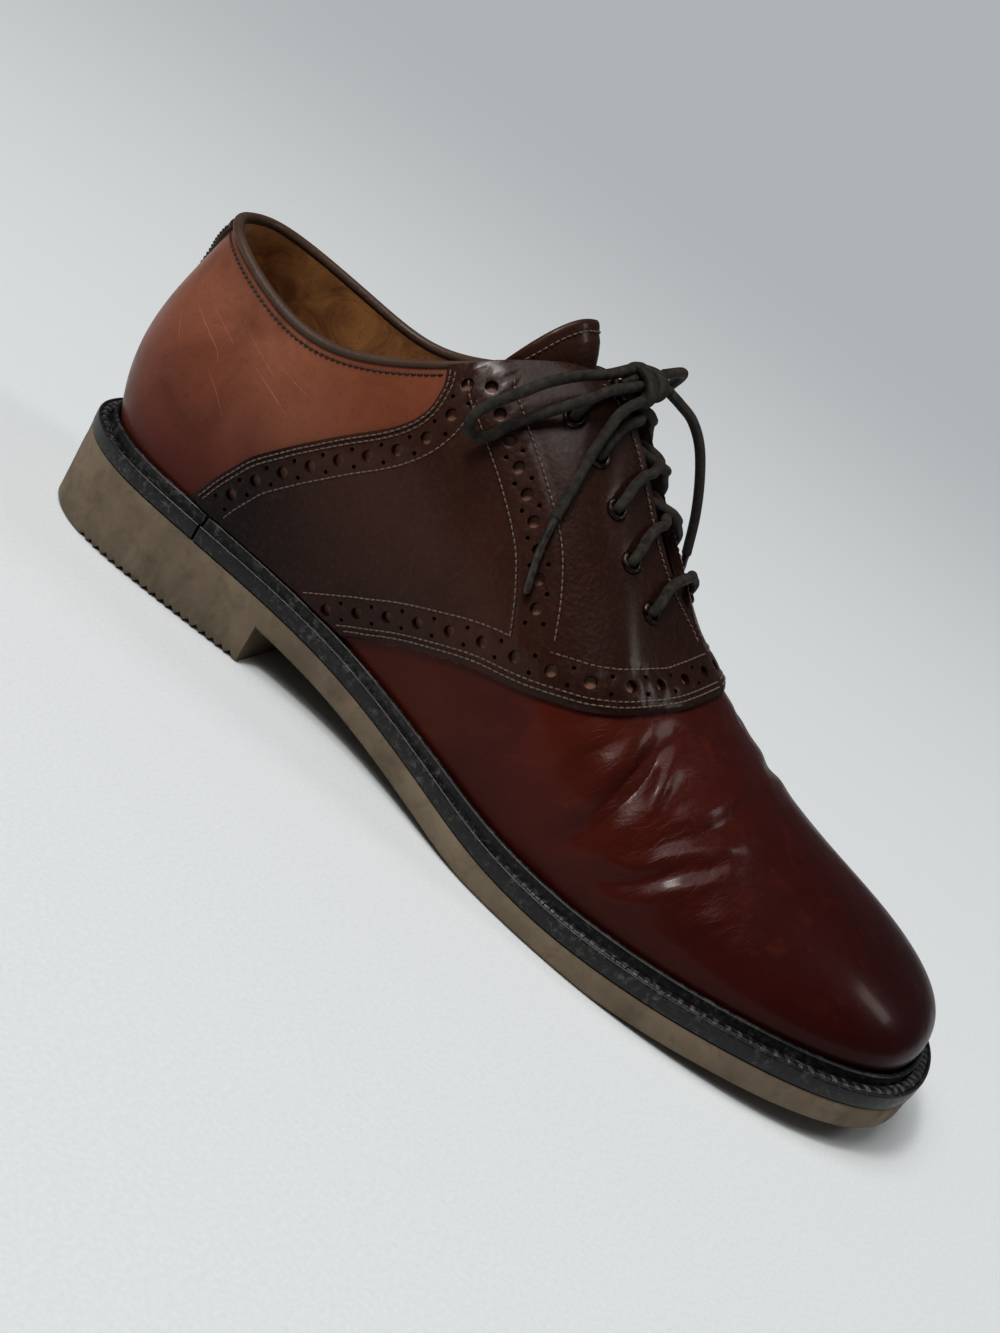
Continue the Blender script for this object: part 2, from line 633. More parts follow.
def smooth_route(points, step, parts=20):
    """Evenly spread places on a smooth curve through the given points."""
    points = np.array(points, float)
    ends = np.concatenate([[2 * points[0] - points[1]], points, [2 * points[-1] - points[-2]]])
    t = np.linspace(0, 1, parts, endpoint=False)[:, None]
    fine = []
    for a, b, c, d in zip(ends[:-3], ends[1:-2], ends[2:-1], ends[3:]):
        fine.append(0.5 * (2 * b + (c - a) * t + (2 * a - 5 * b + 4 * c - d) * t**2
                           + (3 * b - a - 3 * c + d) * t**3))
    return resample(np.concatenate([*fine, points[-1:]]), step)


def nearest(points, route):
    """How far each point is from a route, and how far along the route its nearest place is (0 to 1)."""
    points = np.asarray(points, float)
    best = np.full(points.shape[:-1], np.inf)
    share = np.zeros(points.shape[:-1])
    length = run_length(route)
    for a, b, start, stop in zip(route[:-1], route[1:], length[:-1], length[1:]):
        way = b - a
        t = np.clip(((points - a) @ way) / max(way @ way, 1e-12), 0, 1)
        distance = np.linalg.norm(points - a - t[..., None] * way, axis=-1)
        closer = distance < best
        best = np.where(closer, distance, best)
        share = np.where(closer, (start + t * (stop - start)) / length[-1], share)
    return best, share


def add_piece(name, points, faces, finish, replaces=(), slot=None, colours=None, uv=None):
    """A mesh piece that rides on the shoe, from points in table millimetres."""
    mesh = bpy.data.meshes.new(name)
    places = (np.asarray(points, float) - ORIGIN) * MM
    mesh.from_pydata(places.tolist(), [], [list(map(int, face)) for face in faces])
    if colours is not None:
        tone = mesh.color_attributes.new("tone", "FLOAT_COLOR", "POINT")
        rgba = np.concatenate([colours, np.ones((len(colours), 4 - colours.shape[1]))], 1)
        tone.data.foreach_set("color", rgba.astype(np.float32).ravel())
    if uv is not None:
        layer = mesh.uv_layers.new(name="UVMap")
        corners = np.zeros(len(mesh.loops), np.int32)
        mesh.loops.foreach_get("vertex_index", corners)
        layer.data.foreach_set("uv", np.asarray(uv, np.float32)[corners].ravel())
    mesh.materials.append(finish)
    mesh.shade_smooth()
    mesh.set_sharp_from_angle(angle=math.radians(SHARP_ANGLE))
    piece = bpy.data.objects.new(name, mesh)
    bpy.context.scene.collection.objects.link(piece)
    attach(piece, "root")
    if replaces:
        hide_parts(*replaces)
    return piece


def grid_quads(rows, columns, wrap=False):
    """Quads of a grid of points: the corner numbers of each, in rows and columns."""
    i, j = np.meshgrid(np.arange(rows if wrap else rows - 1), np.arange(columns - 1), indexing="ij")
    after = (i + 1) % rows
    return np.stack([i * columns + j, after * columns + j, after * columns + j + 1, i * columns + j + 1], -1)


def grid_faces(rows, columns, wrap=False, over=False):
    """The same quads as one list, turned over on demand."""
    quads = grid_quads(rows, columns, wrap).reshape(-1, 4)
    return (quads[:, ::-1] if over else quads).tolist()


def swept(sections, over=False, caps_over=False):
    """Points and faces of a body from its sections, whose rings each end on their first point."""
    rows, columns = sections.shape[:2]
    first = list(range(columns - 1))
    last = [(rows - 1) * columns + i for i in first]
    caps = [first[::-1], last] if caps_over else [first, last[::-1]]
    return sections.reshape(-1, 3), grid_faces(rows, columns, over=over) + caps


def thicken(outer, inner, faces):
    """Points and faces of a closed sheet between matching outer and inner points."""
    outer, inner = (np.reshape(points, (-1, 3)) for points in (outer, inner))
    count = len(outer)
    faces = [list(dict.fromkeys(map(int, face))) for face in faces]
    faces = [face for face in faces if len(face) > 2]
    edges = {(a, b): True for face in faces for a, b in zip(face, face[1:] + face[:1])}
    rim = [(b, a, a + count, b + count) for a, b in edges if (b, a) not in edges]
    under = [[i + count for i in reversed(face)] for face in faces]
    return np.concatenate([outer, inner]), faces + under + rim


class Gather:
    """Collects many small meshes into one."""

    def __init__(self):
        self.points = []
        self.faces = []
        self.uv = []
        self.count = 0

    def add(self, points, faces, uv=None):
        self.points.append(points)
        self.faces.extend([[i + self.count for i in face] for face in faces])
        self.uv.append(np.zeros((len(points), 2)) if uv is None else uv)
        self.count += len(points)

    def piece(self, name, finish, **options):
        return add_piece(name, np.concatenate(self.points), self.faces, finish,
                         uv=np.concatenate(self.uv), **options)


def round_angles(sides):
    return np.linspace(0, 2 * math.pi, sides, endpoint=False)


def tube(route, radius, sides=12):
    """Points, faces and (round, along) coordinates of a capped tube; radius may change along it."""
    route = np.asarray(route, float)
    radii = np.broadcast_to(np.asarray(radius, float), (len(route),))
    ways = unit(np.gradient(route, axis=0))
    side = np.cross(ways[0], [0.3, 0.2, 1.0])
    angles = np.linspace(0, 2 * math.pi, sides + 1)
    rings = []
    for place, way, r in zip(route, ways, radii):
        side = unit(side - way * side.dot(way))
        other = np.cross(way, side)
        rings.append(place + r * (np.cos(angles)[:, None] * side + np.sin(angles)[:, None] * other))
    points = np.concatenate(rings)
    uv = np.stack([np.tile(angles / (2 * math.pi), len(route)), np.repeat(run_length(route), sides + 1)], 1)
    last = len(points) - sides - 1
    caps = [list(range(sides, 0, -1)), list(range(last, last + sides))]
    return points, grid_faces(len(route), sides + 1) + caps, uv


def turned(place, normal, first, second, profile, sides):
    """Points and faces of a ring turned about the normal from (radius, height) pairs."""
    angles = round_angles(sides)
    ways = np.cos(angles)[:, None] * first + np.sin(angles)[:, None] * second
    profile = np.array(profile + profile[:1], float)
    points = place + ways[:, None, :] * profile[:, :1] + normal * profile[:, 1:]
    return points.reshape(-1, 3), grid_faces(sides, len(profile), wrap=True)


# Materials.


def linear(red, green, blue):
    """Scene colours from the 0 to 255 values that a photo shows."""
    values = np.array([red, green, blue], float) / 255
    return tuple(np.where(values <= 0.04045, values / 12.92, ((values + 0.055) / 1.055) ** 2.4))


class Finish:
    """A material in the making: a Principled shader and the nodes that feed it."""

    def __init__(self, name, roughness=0.5, metallic=0.0, coat=0.0, coat_roughness=0.2, sheen=0.0,
                 specular=0.5):
        self.made = bpy.data.materials.new(name)
        self.made.use_nodes = True
        self.tree = self.made.node_tree
        self.shader = self.tree.nodes["Principled BSDF"]
        for socket, value in (("Roughness", roughness), ("Metallic", metallic), ("Coat Weight", coat),
                              ("Coat Roughness", coat_roughness), ("Sheen Weight", sheen),
                              ("Specular IOR Level", specular)):
            self.shader.inputs[socket].default_value = value
        self.space = self.node("ShaderNodeTexCoord").outputs["Object"]
        self.height = None

    def node(self, kind, **inputs):
        made = self.tree.nodes.new(kind)
        for name, value in inputs.items():
            self.feed(made.inputs[name.replace("_", " ")], value)
        return made

    def feed(self, socket, value):
        if isinstance(value, bpy.types.NodeSocket):
            self.tree.links.new(value, socket)
        elif socket.type == "RGBA":
            socket.default_value = (*value, 1.0)
        else:
            socket.default_value = value

    def stretched(self, scale, turn=(0, 0, 0), space=None):
        """Coordinates turned and then scaled, for streaks."""
        turned_first = self.node("ShaderNodeMapping", Vector=space or self.space)
        turned_first.inputs["Rotation"].default_value = tuple(math.radians(a) for a in turn)
        mapping = self.node("ShaderNodeMapping", Vector=turned_first.outputs["Vector"])
        mapping.inputs["Scale"].default_value = scale
        return mapping.outputs["Vector"]

    def noise(self, scale, detail=4.0, roughness=0.55, space=None, distortion=0.0):
        made = self.node("ShaderNodeTexNoise", Vector=space or self.space, Scale=scale, Detail=detail,
                         Roughness=roughness, Distortion=distortion)
        return made.outputs["Fac"]

    def cells(self, scale, space=None):
        made = self.node("ShaderNodeTexVoronoi", Vector=space or self.space, Scale=scale)
        return made.outputs["Distance"]

    def remap(self, value, low, high, to_low=0.0, to_high=1.0):
        made = self.node("ShaderNodeMapRange", Value=value)
        for name, number in (("From Min", low), ("From Max", high), ("To Min", to_low), ("To Max", to_high)):
            made.inputs[name].default_value = number
        return made.outputs["Result"]

    def mix(self, share, first, second):
        """A blend of two colours; the node has other sockets too, for numbers and directions."""
        made = self.node("ShaderNodeMix")
        made.data_type = "RGBA"
        made.clamp_factor = True
        for i, value in ((0, share), (6, first), (7, second)):
            self.feed(made.inputs[i], value)
        return made.outputs[2]

    def over(self, texture, low, high, under, shown, most=1.0, least=0.0):
        """A colour laid over another: least of it where the texture is low, most of it where it is high."""
        return self.mix(self.remap(texture, low, high, least, most), under, linear(*shown))

    def times(self, first, second):
        made = self.node("ShaderNodeMath")
        made.operation = "MULTIPLY"
        self.feed(made.inputs[0], first)
        self.feed(made.inputs[1], second)
        return made.outputs[0]

    def tone(self, output="Color"):
        """The colours painted on the piece's points, or with "Alpha" how much the leather flexes there."""
        made = self.node("ShaderNodeVertexColor")
        made.layer_name = "tone"
        return made.outputs[output]

    def uv(self):
        return self.node("ShaderNodeUVMap").outputs["UV"]

    def colour(self, value):
        self.feed(self.shader.inputs["Base Color"], value)

    def rough(self, texture, low, high, least, most):
        self.feed(self.shader.inputs["Roughness"], self.remap(texture, low, high, least, most))

    def bump(self, height, distance, strength):
        made = self.node("ShaderNodeBump", Height=height, Strength=strength, Distance=distance * MM)
        if self.height is not None:
            self.tree.links.new(self.height, made.inputs["Normal"])
        self.height = made.outputs["Normal"]
        self.tree.links.new(self.height, self.shader.inputs["Normal"])


def burnished_leather():
    """Polished red-brown calf: painted tones, cloudy burnish, fine pores, flex wrinkles and soft wear."""
    made = Finish("burnished_leather", coat=0.16, coat_roughness=0.16, specular=0.1)
    cloud = made.noise(38, 5, 0.6, distortion=0.6)
    streaks = made.noise(150, 6, 0.65, made.stretched((0.3, 1.0, 1.0), (0, 35, 0)))
    speckle = made.noise(900, 3)
    colour = made.over(cloud, 0.42, 0.75, made.tone(), (36, 8, 5), 0.45)
    colour = made.over(streaks, 0.56, 0.82, colour, (150, 72, 40), 0.12)
    made.colour(made.over(speckle, 0.55, 0.8, colour, (34, 9, 6), 0.25))
    made.rough(made.noise(150, 6, 0.6), 0.3, 0.75, 0.3, 0.48)
    made.bump(made.cells(1500), 0.03, 0.5)
    made.bump(made.noise(420, 5, 0.6), 0.05, 0.6)
    wrinkle = made.noise(420, 4, 0.6, made.stretched((1.0, 0.5, 0.22), (0, -26, 0)), 0.6)
    made.bump(made.times(wrinkle, made.tone("Alpha")), 0.8, 0.9)
    return made.made


def saddle_leather(name="saddle_leather", plain=None, coat=0.22):
    """Dark brown leather with a fine grain that runs across it, in painted tones or one plain colour."""
    made = Finish(name, coat=coat, coat_roughness=0.2, specular=0.1)
    base = linear(*plain) if plain else made.tone()
    cloud = made.noise(46, 5, 0.62, distortion=0.5)
    rub = made.noise(800, 5, 0.7, made.stretched((1.0, 1.0, 0.85), (0, 40, 0)))
    colour = made.over(cloud, 0.42, 0.75, base, (22, 10, 7), 0.4)
    made.colour(made.over(rub, 0.5, 0.8, colour, (98, 68, 55), 0.26))
    made.rough(made.noise(200, 5, 0.6), 0.3, 0.75, 0.36, 0.58)
    made.bump(made.cells(850, made.stretched((1.0, 1.0, 0.8), (0, 42, 0))), 0.12, 0.9)
    made.bump(made.noise(380, 5, 0.65), 0.1, 0.8)
    return made.made


def suede():
    """The golden tan lining, brushed into lighter and darker patches."""
    made = Finish("suede_lining", roughness=0.95, sheen=0.35, specular=0.2)
    nap = made.noise(90, 6, 0.65, distortion=0.8)
    fibre = made.noise(1800, 3, 0.6)
    colour = made.over(nap, 0.35, 0.7, linear(134, 88, 44), (206, 150, 90))
    made.colour(made.over(fibre, 0.5, 0.8, colour, (104, 66, 32), 0.4))
    made.bump(fibre, 0.12, 0.7)
    return made.made


def sock_leather():
    made = Finish("sock_leather", coat=0.05)
    wear = made.noise(30, 5, 0.6, distortion=0.4)
    made.colour(made.over(wear, 0.4, 0.72, linear(168, 116, 66), (112, 70, 36)))
    made.rough(wear, 0.3, 0.7, 0.55, 0.75)
    made.bump(made.cells(1200), 0.04, 0.5)
    return made.made


def welt_rubber():
    """Charcoal welt: a wheeled strip of slanting marks on top, flecks and scuffs that show grey."""
    made = Finish("welt_rubber", specular=0.45)
    wheel = made.node("ShaderNodeTexWave", Vector=made.stretched((0.9, 1.0, 1.0), (0, 0, 35), made.uv()),
                      Scale=0.19, Distortion=1.2, Detail=2.0).outputs["Fac"]
    across = made.node("ShaderNodeSeparateXYZ", Vector=made.uv()).outputs["X"]
    strip = made.remap(across, WHEELED_MARK - 0.5, WHEELED_MARK - 0.3)
    mark = made.times(made.remap(wheel, 0.45, 0.8), strip)
    fleck = made.noise(520, 6, 0.72)
    scuff = made.noise(70, 6, 0.7, distortion=1.0)
    colour = made.over(fleck, 0.5, 0.68, linear(18, 17, 18), (104, 101, 97), 0.75)
    colour = made.over(scuff, 0.4, 0.62, colour, (19, 18, 19), 0.0, 0.85)
    worn = made.times(mark, made.remap(fleck, 0.4, 0.65, 0.0, 0.6))
    made.colour(made.mix(worn, colour, linear(120, 117, 112)))
    made.rough(fleck, 0.35, 0.7, 0.3, 0.58)
    made.bump(mark, 0.4, 0.8)
    made.bump(fleck, 0.16, 0.7)
    return made.made


def sole_rubber():
    """Taupe crepe-like rubber, a little cloudy, with grime and fine pits."""
    made = Finish("sole_rubber", specular=0.3)
    cloud = made.noise(60, 5, 0.6, made.stretched((1.0, 1.0, 0.7)))
    grime = made.noise(140, 6, 0.68, distortion=0.7)
    colour = made.over(cloud, 0.35, 0.72, linear(100, 88, 73), (128, 114, 96))
    made.colour(made.over(grime, 0.5, 0.75, colour, (70, 61, 50), 0.5))
    made.rough(grime, 0.3, 0.7, 0.62, 0.82)
    made.bump(made.noise(900, 4, 0.6), 0.07, 0.6)
    made.bump(grime, 0.1, 0.4)
    return made.made


def dark_metal():
    made = Finish("dark_brass", metallic=1.0)
    worn = made.noise(700, 5, 0.65)
    made.colour(made.over(worn, 0.4, 0.65, linear(24, 21, 19), (84, 74, 64)))
    made.rough(worn, 0.3, 0.7, 0.28, 0.5)
    made.bump(worn, 0.03, 0.5)
    return made.made


def waxed_cord():
    """Round waxed lace: a fine braid under wax, with lighter rubbed threads."""
    made = Finish("waxed_cord", specular=0.4)
    uv = made.uv()
    one, two = (
        made.node("ShaderNodeTexWave", Vector=made.stretched((6.0, 0.9, 1.0), (0, 0, turn), uv), Scale=1.0,
                  Distortion=0.4)
        for turn in (32, -32)
    )
    braid = made.times(one.outputs["Fac"], two.outputs["Fac"])
    wear = made.noise(420, 6, 0.7)
    colour = made.over(wear, 0.38, 0.7, linear(38, 33, 28), (92, 83, 71))
    made.colour(made.over(braid, 0.0, 0.6, colour, (22, 19, 16), 0.0, 0.5))
    made.rough(wear, 0.3, 0.7, 0.55, 0.75)
    made.bump(braid, 0.16, 0.8)
    made.bump(made.noise(1600, 3, 0.6), 0.14, 0.8)
    return made.made


def thread(name, dark, light):
    made = Finish(name, roughness=0.6)
    twist = made.noise(1600, 3, 0.6)
    made.colour(made.over(twist, 0.35, 0.7, linear(*dark), light))
    made.bump(twist, 0.05, 0.6)
    return made.made


def smooth_plastic(name, dark, light):
    made = Finish(name, coat=0.2)
    wear = made.noise(500, 4, 0.6)
    made.colour(made.over(wear, 0.4, 0.7, linear(*dark), light))
    made.rough(wear, 0.3, 0.7, 0.3, 0.5)
    return made.made


def studio_floor(dark, light):
    made = Finish("studio_floor", roughness=1.0, specular=0.0)
    made.colour(made.over(made.noise(900, 3, 0.6), 0.3, 0.7, linear(*dark), light))
    return made.made


# Leather pieces.

SIDE_TURNS = np.concatenate([
    np.linspace(0, CORNER_TURN, 92)[:-1],
    np.linspace(CORNER_TURN, THROAT_TURN, 50)[:-1],
    np.linspace(THROAT_TURN, 1, 84),
])
LOOP_TURNS = np.append(SIDE_TURNS, 2 - SIDE_TURNS[-2:0:-1])
SKIN_CLIMBS = np.linspace(0, 1, 72)


def painted(points, tones):
    """Blends the colours of a tone table over points, by how near each tone's two places are."""
    total = np.zeros(points.shape[:-1] + (3,))
    weight = np.full(points.shape[:-1] + (1,), TINY)
    for _, x, climb, spread, *shown in tones:
        for side in SIDES:
            middle = surface(on_side(turn_at_foot(x), side), climb)
            away = np.sum((points - middle) ** 2, axis=-1)
            near = np.exp(-away / (TONE_SPREAD * spread) ** 2)[..., None] + TINY
            total += near * np.array(linear(*shown))
            weight += near
    return total / weight


def spine_rounding(turns, climbs):
    """How far the leather lies under the ribs near the spine, where the two sides would meet in a ridge."""
    top = crest(turns)
    share = np.clip(1 - np.linalg.norm(surface(turns, climbs) - top, axis=-1) / SPINE_ROUND, 0, 1)
    slope = np.tan(np.radians(LAST(turns)[..., LEAN])) * closed_over(turns)
    fade = smoothstep(THROAT_END_X, THROAT_END_X + SPINE_FADE, top[..., 0])
    return -slope * SPINE_ROUND / 2 * share**2 * fade


def upper_tones(points, turns, climbs):
    """Tones of the upper's points; under the saddle it is the raw brown that shows through the holes."""
    x = LAST(turns)[..., 0]
    climb, rear, front = (column(SADDLE_ROWS, SADDLE_COLUMNS, name) for name in SADDLE_COLUMNS)
    inside = np.minimum(x - np.interp(climbs, climb, rear), np.interp(climbs, climb, front) - x)
    covered = smoothstep(*COVERED_FROM, inside).reshape(-1, 1)
    edge = (smoothstep(*THROAT_EDGE_CLIMBS, climbs) * (inside > COVERED_FROM[0])).reshape(-1, 1)
    under = (1 - edge) * np.array(linear(*HOLE_FLOOR)) + edge * np.array(linear(*THROAT_EDGE))
    return (1 - covered) * painted(points, TONES) + covered * under


def crease_relief(turns, climbs):
    """The leather's height over the smooth last, with troughs and swells, and how much it flexes."""
    points = surface(turns, climbs)
    relief = np.zeros(points.shape[:-1])
    still = np.ones(points.shape[:-1])
    for side, share, back in (("lateral", 1.0, 0.0), ("medial", MEDIAL_CREASE_SHARE, MEDIAL_CREASE_BACK)):
        for _, depth, half_width, swell, line in CREASES:
            x, climb = np.array(line).T
            route = smooth_route(surface(on_side(turn_at_foot(x - back), side), climb), CREASE_STEP)
            distance, along = nearest(points, route)
            along = np.clip(along * (1 - 2 * CREASE_END) + CREASE_END, 0, 1)
            fade = share * np.sin(math.pi * along) ** CREASE_TAPER
            trough = -depth * np.exp(-((distance / half_width) ** 2))
            away = (distance - SWELL_AWAY * half_width) / (SWELL_WIDTH * half_width)
            relief += fade * (trough + swell * np.exp(-(away**2)))
            still *= 1 - FLEX_SHARE * fade * np.exp(-((distance / FLEX_REACH) ** 2))
    return relief * smoothstep(0.0, CREASE_LOW_CLIMB, climbs) + spine_rounding(turns, climbs), 1 - still


def build_upper(leather, lining):
    """The outer leather with its creases, and the suede lining inside it, both open at collar and throat."""
    turns, climbs = np.meshgrid(LOOP_TURNS, SKIN_CLIMBS, indexing="ij")
    rows, columns = turns.shape
    relief, flex = crease_relief(turns, climbs)
    number = np.arange(rows * columns).reshape(rows, columns)
    closed = closed_over(LOOP_TURNS)
    inner_half = closed & (LOOP_TURNS > 1)
    number[inner_half, -1] = number[(rows - np.arange(rows))[inner_half], -1]
    quads = grid_quads(rows, columns, wrap=True)
    middle = surface(turns, climbs).reshape(-1, 3)[quads].mean(axis=2)
    punched = np.zeros(quads.shape[:2], bool)
    for _, turn, climb in eyelet_places():
        punched |= np.linalg.norm(middle - surface(turn, climb), axis=-1) < UPPER_HOLE
    from_corner = np.minimum(LOOP_TURNS, 2 - LOOP_TURNS) - CORNER_TURN
    in_throat = (from_corner > LINING_CORNER_TURN) & ~closed
    held_back = punched | in_throat[:, None] & (SKIN_CLIMBS[:-1] > LINING_TOP_CLIMB)
    skin, backing = (number.ravel()[quads[~cut]] for cut in (punched, held_back))
    outer = offset_surface(turns, climbs, relief)
    tones = np.concatenate([upper_tones(outer.reshape(-1, 3), turns, climbs), flex.reshape(-1, 1)], 1)
    points, faces = thicken(outer, offset_surface(turns, climbs, -LEATHER), skin)
    add_piece("upper_leather", points, faces, leather, ("upper",), "upper_leather", np.tile(tones, (2, 1)))
    high, low = (offset_surface(turns, climbs, height) for height in (-LEATHER - LINING_GAP, -WALL))
    add_piece("upper_lining", *thicken(high, low, backing), lining, (), "upper_leather")


def saddle_edges(side):
    """The saddle's rear and front edges as turns and climbs, from the welt up."""
    fine = np.linspace(SADDLE_LOW_CLIMB, 1, 160)
    rows = smooth_route(np.array(SADDLE_ROWS) * (CLIMB_WEIGHT, 1, 1), TABLE_STEP)
    edges = []
    for i in (1, 2):
        turns = turn_at_foot(np.interp(fine, rows[:, 0] / CLIMB_WEIGHT, rows[:, i]))
        lengths = run_length(surface(on_side(turns, side), fine))
        places = np.linspace(0, 1, round(lengths[-1] / EDGE_STEP))
        share = lengths / lengths[-1]
        edges.append((on_side(np.interp(places, share, turns), side), np.interp(places, share, fine)))
    return edges


def down_to_welt(turns, climbs, looked_at=6, most_steps=24):
    """A line on the upper, run straight on from its lower end until it passes under the welt."""
    points = surface(turns[:looked_at], climbs[:looked_at])
    turns, climbs = list(turns), list(climbs)
    back = unit(points[0] - points[-1])
    for _ in range(most_steps):
        if climbs[0] < SADDLE_LOW_CLIMB:
            break
        turn, climb = step_on_surface(turns[0], climbs[0], back * EDGE_STEP)
        turns.insert(0, float(turn))
        climbs.insert(0, float(climb))
    return np.array(turns), np.array(climbs)


def half_way_up(side, x):
    return surface(on_side(turn_at_foot(x), side), 0.5)


def saddle_lines(side):
    """Named curves on one side of the saddle, each as turns and climbs."""
    rear, front = saddle_edges(side)
    middle = half_way_up(side, SADDLE_MIDDLE_X)
    lines = {"rear_edge": rear, "front_edge": front}
    for name, edge, stitches in (("rear", rear, REAR_STITCHES), ("front", front, FRONT_STITCHES)):
        for i, distance in enumerate(stitches):
            lines[f"{name}_stitch_{i}"] = down_to_welt(*inset(*edge, distance, middle))
    lines["rear_holes"] = down_to_welt(*inset(*rear, REAR_HOLES, middle))
    lines["front_holes"] = down_to_welt(*inset(*front, FRONT_HOLES, middle))
    band = smooth_route([(turn_at_foot(x), climb) for x, climb in BAND_LINE], BAND_STEP)
    lines["band"] = (on_side(band[:, 0], side), band[:, 1])
    ahead = half_way_up(side, BAND_AHEAD_X)
    lines["band_stitch_rear"] = inset(*lines["band"], -BAND_STITCH, ahead)
    lines["band_stitch_front"] = inset(*lines["band"], BAND_STITCH, ahead)
    throat = np.linspace(*np.add((CORNER_TURN, THROAT_TURN), THROAT_STITCH_PAST), 90)
    lines["throat_stitch"] = inset(on_side(throat, side), 0 * throat + EDGE_CLIMB, THROAT_STITCH, middle)
    return lines


def eyelet_places():
    """(name, turn, climb) of each eyelet, row 1 lowest."""
    places = []
    for row, x in enumerate(EYELET_XS, 1):
        for side in SIDES:
            turn = on_side(float(turn_at_crest(x)), side)
            places.append((f"{side}_{row}", turn, float(climb_below_crest(turn, EYELET_INSET))))
    return places


def frame_at(turn, climb):
    """A point of the upper with its normal and two directions along the surface."""
    normal = normal_at(turn, climb)
    up_rib = surface(turn, climb + SLOPE_STEP) - surface(turn, climb - SLOPE_STEP)
    up_rib = unit(up_rib - normal * up_rib.dot(normal))
    return surface(turn, climb), normal, up_rib, np.cross(normal, up_rib)


def punch_row(line, pitch, start, stop):
    """Round holes along a line, with a pair of pinholes across it between each two: (turn, climb, radius)."""
    lengths = run_length(surface(*line))
    rows = np.column_stack([*line, across_line(*line)])
    holes = []
    for i, place in enumerate(np.arange(start, lengths[-1] - stop, pitch / 2)):
        turn, climb, *side = rows_at(place, lengths, rows)
        if i % 2 == 0:
            holes.append((turn, climb, HOLE_RADIUS))
            continue
        for sign in (-1, 1):
            move = np.array(side) * sign * PINHOLE_SPREAD
            holes.append((*step_on_surface(turn, climb, move), PINHOLE_RADIUS))
    return holes


def saddle_holes(side, lines):
    """All holes of one side, none closer to another than a thin bridge of leather."""
    wanted = [(turn, climb, EYELET_HOLE) for name, turn, climb in eyelet_places() if name.startswith(side)]
    for name, *spacing in HOLE_ROWS:
        wanted += punch_row(lines[name], *spacing)
    kept = []
    for turn, climb, radius in wanted:
        place = surface(turn, climb)
        clear = all(np.linalg.norm(place - other) > radius + size + HOLE_BRIDGE for other, size, _, _ in kept)
        if clear and HOLE_CLIMBS[0] < climb < HOLE_CLIMBS[1]:
            kept.append((place, radius, turn, climb))
    return kept


def inside_polygon(points, polygon):
    x, y = points[:, 0], points[:, 1]
    inside = np.zeros(len(points), bool)
    for (ax, ay), (bx, by) in zip(polygon, np.roll(polygon, -1, axis=0)):
        if ay != by:
            inside ^= ((ay > y) != (by > y)) & (x < (bx - ax) * (y - ay) / (by - ay) + ax)
    return inside


def saddle_border(side, lines):
    """The outline of one side of the saddle on the plane: up the rear edge, along the top, down and back."""
    rear, front = (np.stack(lines[name], 1) for name in ("rear_edge", "front_edge"))
    low = np.linspace(rear[0], front[0], 60)[1:-1]
    top_turns = on_side(np.unique(np.concatenate([
        np.linspace(on_side(rear[-1, 0], side), CORNER_TURN, 50),
        np.linspace(CORNER_TURN, THROAT_TURN, 60),
        np.linspace(THROAT_TURN, on_side(front[-1, 0], side), 22),
    ])), side)[1:-1]
    top = np.stack([top_turns, np.ones(len(top_turns))], 1)
    return np.concatenate([rear, top, front[::-1], low[::-1]]) * PLANE


def inner_grid(border, collars):
    """Staggered points inside a border, clear of it and of the holes' collars."""
    xs, ys = (np.arange(low, high, step) for low, high, step in zip(border.min(0), border.max(0), GRID_STEP))
    grid = np.stack(np.meshgrid(xs, ys, indexing="ij"), -1)
    grid[:, 1::2, 0] += GRID_SHIFT
    grid = grid.reshape(-1, 2)
    grid = grid[inside_polygon(grid, border)]
    grid = grid[np.min(np.linalg.norm(grid[:, None] - border[None, ::2], axis=-1), axis=1) >= EDGE_CLEAR]
    for collar in collars:
        centre = collar.mean(axis=0)
        size = np.linalg.norm(collar - centre, axis=1).max()
        grid = grid[np.linalg.norm(grid - centre, axis=1) > size + HOLE_CLEAR]
    return grid


def saddle_sheet(side, lines, holes):
    """Turns, climbs and triangles of one side of the saddle, with its holes left open."""
    border = saddle_border(side, lines)
    points = [border]
    edges = ring_edges(0, len(border))
    openings, collars = [], []
    for _, radius, turn, climb in holes:
        _, _, first, second = frame_at(turn, climb)
        sides = PINHOLE_SIDES if radius < 1 else HOLE_SIDES
        angles = round_angles(sides)
        around = np.cos(angles)[:, None] * first + np.sin(angles)[:, None] * second
        opening, collar = (
            np.stack(step_on_surface(turn, climb, radius * grow * around), 1) * PLANE
            for grow in (1.0, 1.0 + HOLE_COLLAR / radius)
        )
        edges += ring_edges(sum(map(len, points)), sides)
        points += [opening, collar]
        openings.append(opening)
        collars.append(collar)
    for name in ("rear_edge", "front_edge"):
        for distance in EDGE_ROWS:
            row = np.stack(inset(*lines[name], distance, half_way_up(side, SADDLE_MIDDLE_X)), 1)
            points.append(row[2:-2] * PLANE)
    points.append(inner_grid(border, collars))
    flat = [Vector(point) for point in np.concatenate(points).tolist()]
    made, _, faces, *_ = delaunay_2d_cdt(flat, edges, [], 0, 1e-5)
    made = np.array([tuple(point) for point in made])
    faces = np.array([face for face in faces if len(face) == 3])
    centres = made[faces].mean(axis=1)
    keep = inside_polygon(centres, border)
    for opening in openings:
        keep &= ~inside_polygon(centres, opening)
    turns, climbs = (made / PLANE).T
    return turns, np.where(climbs > 1 - 1e-5, 1.0, climbs), faces[keep]


def ring_edges(start, count):
    return [(start + i, start + (i + 1) % count) for i in range(count)]


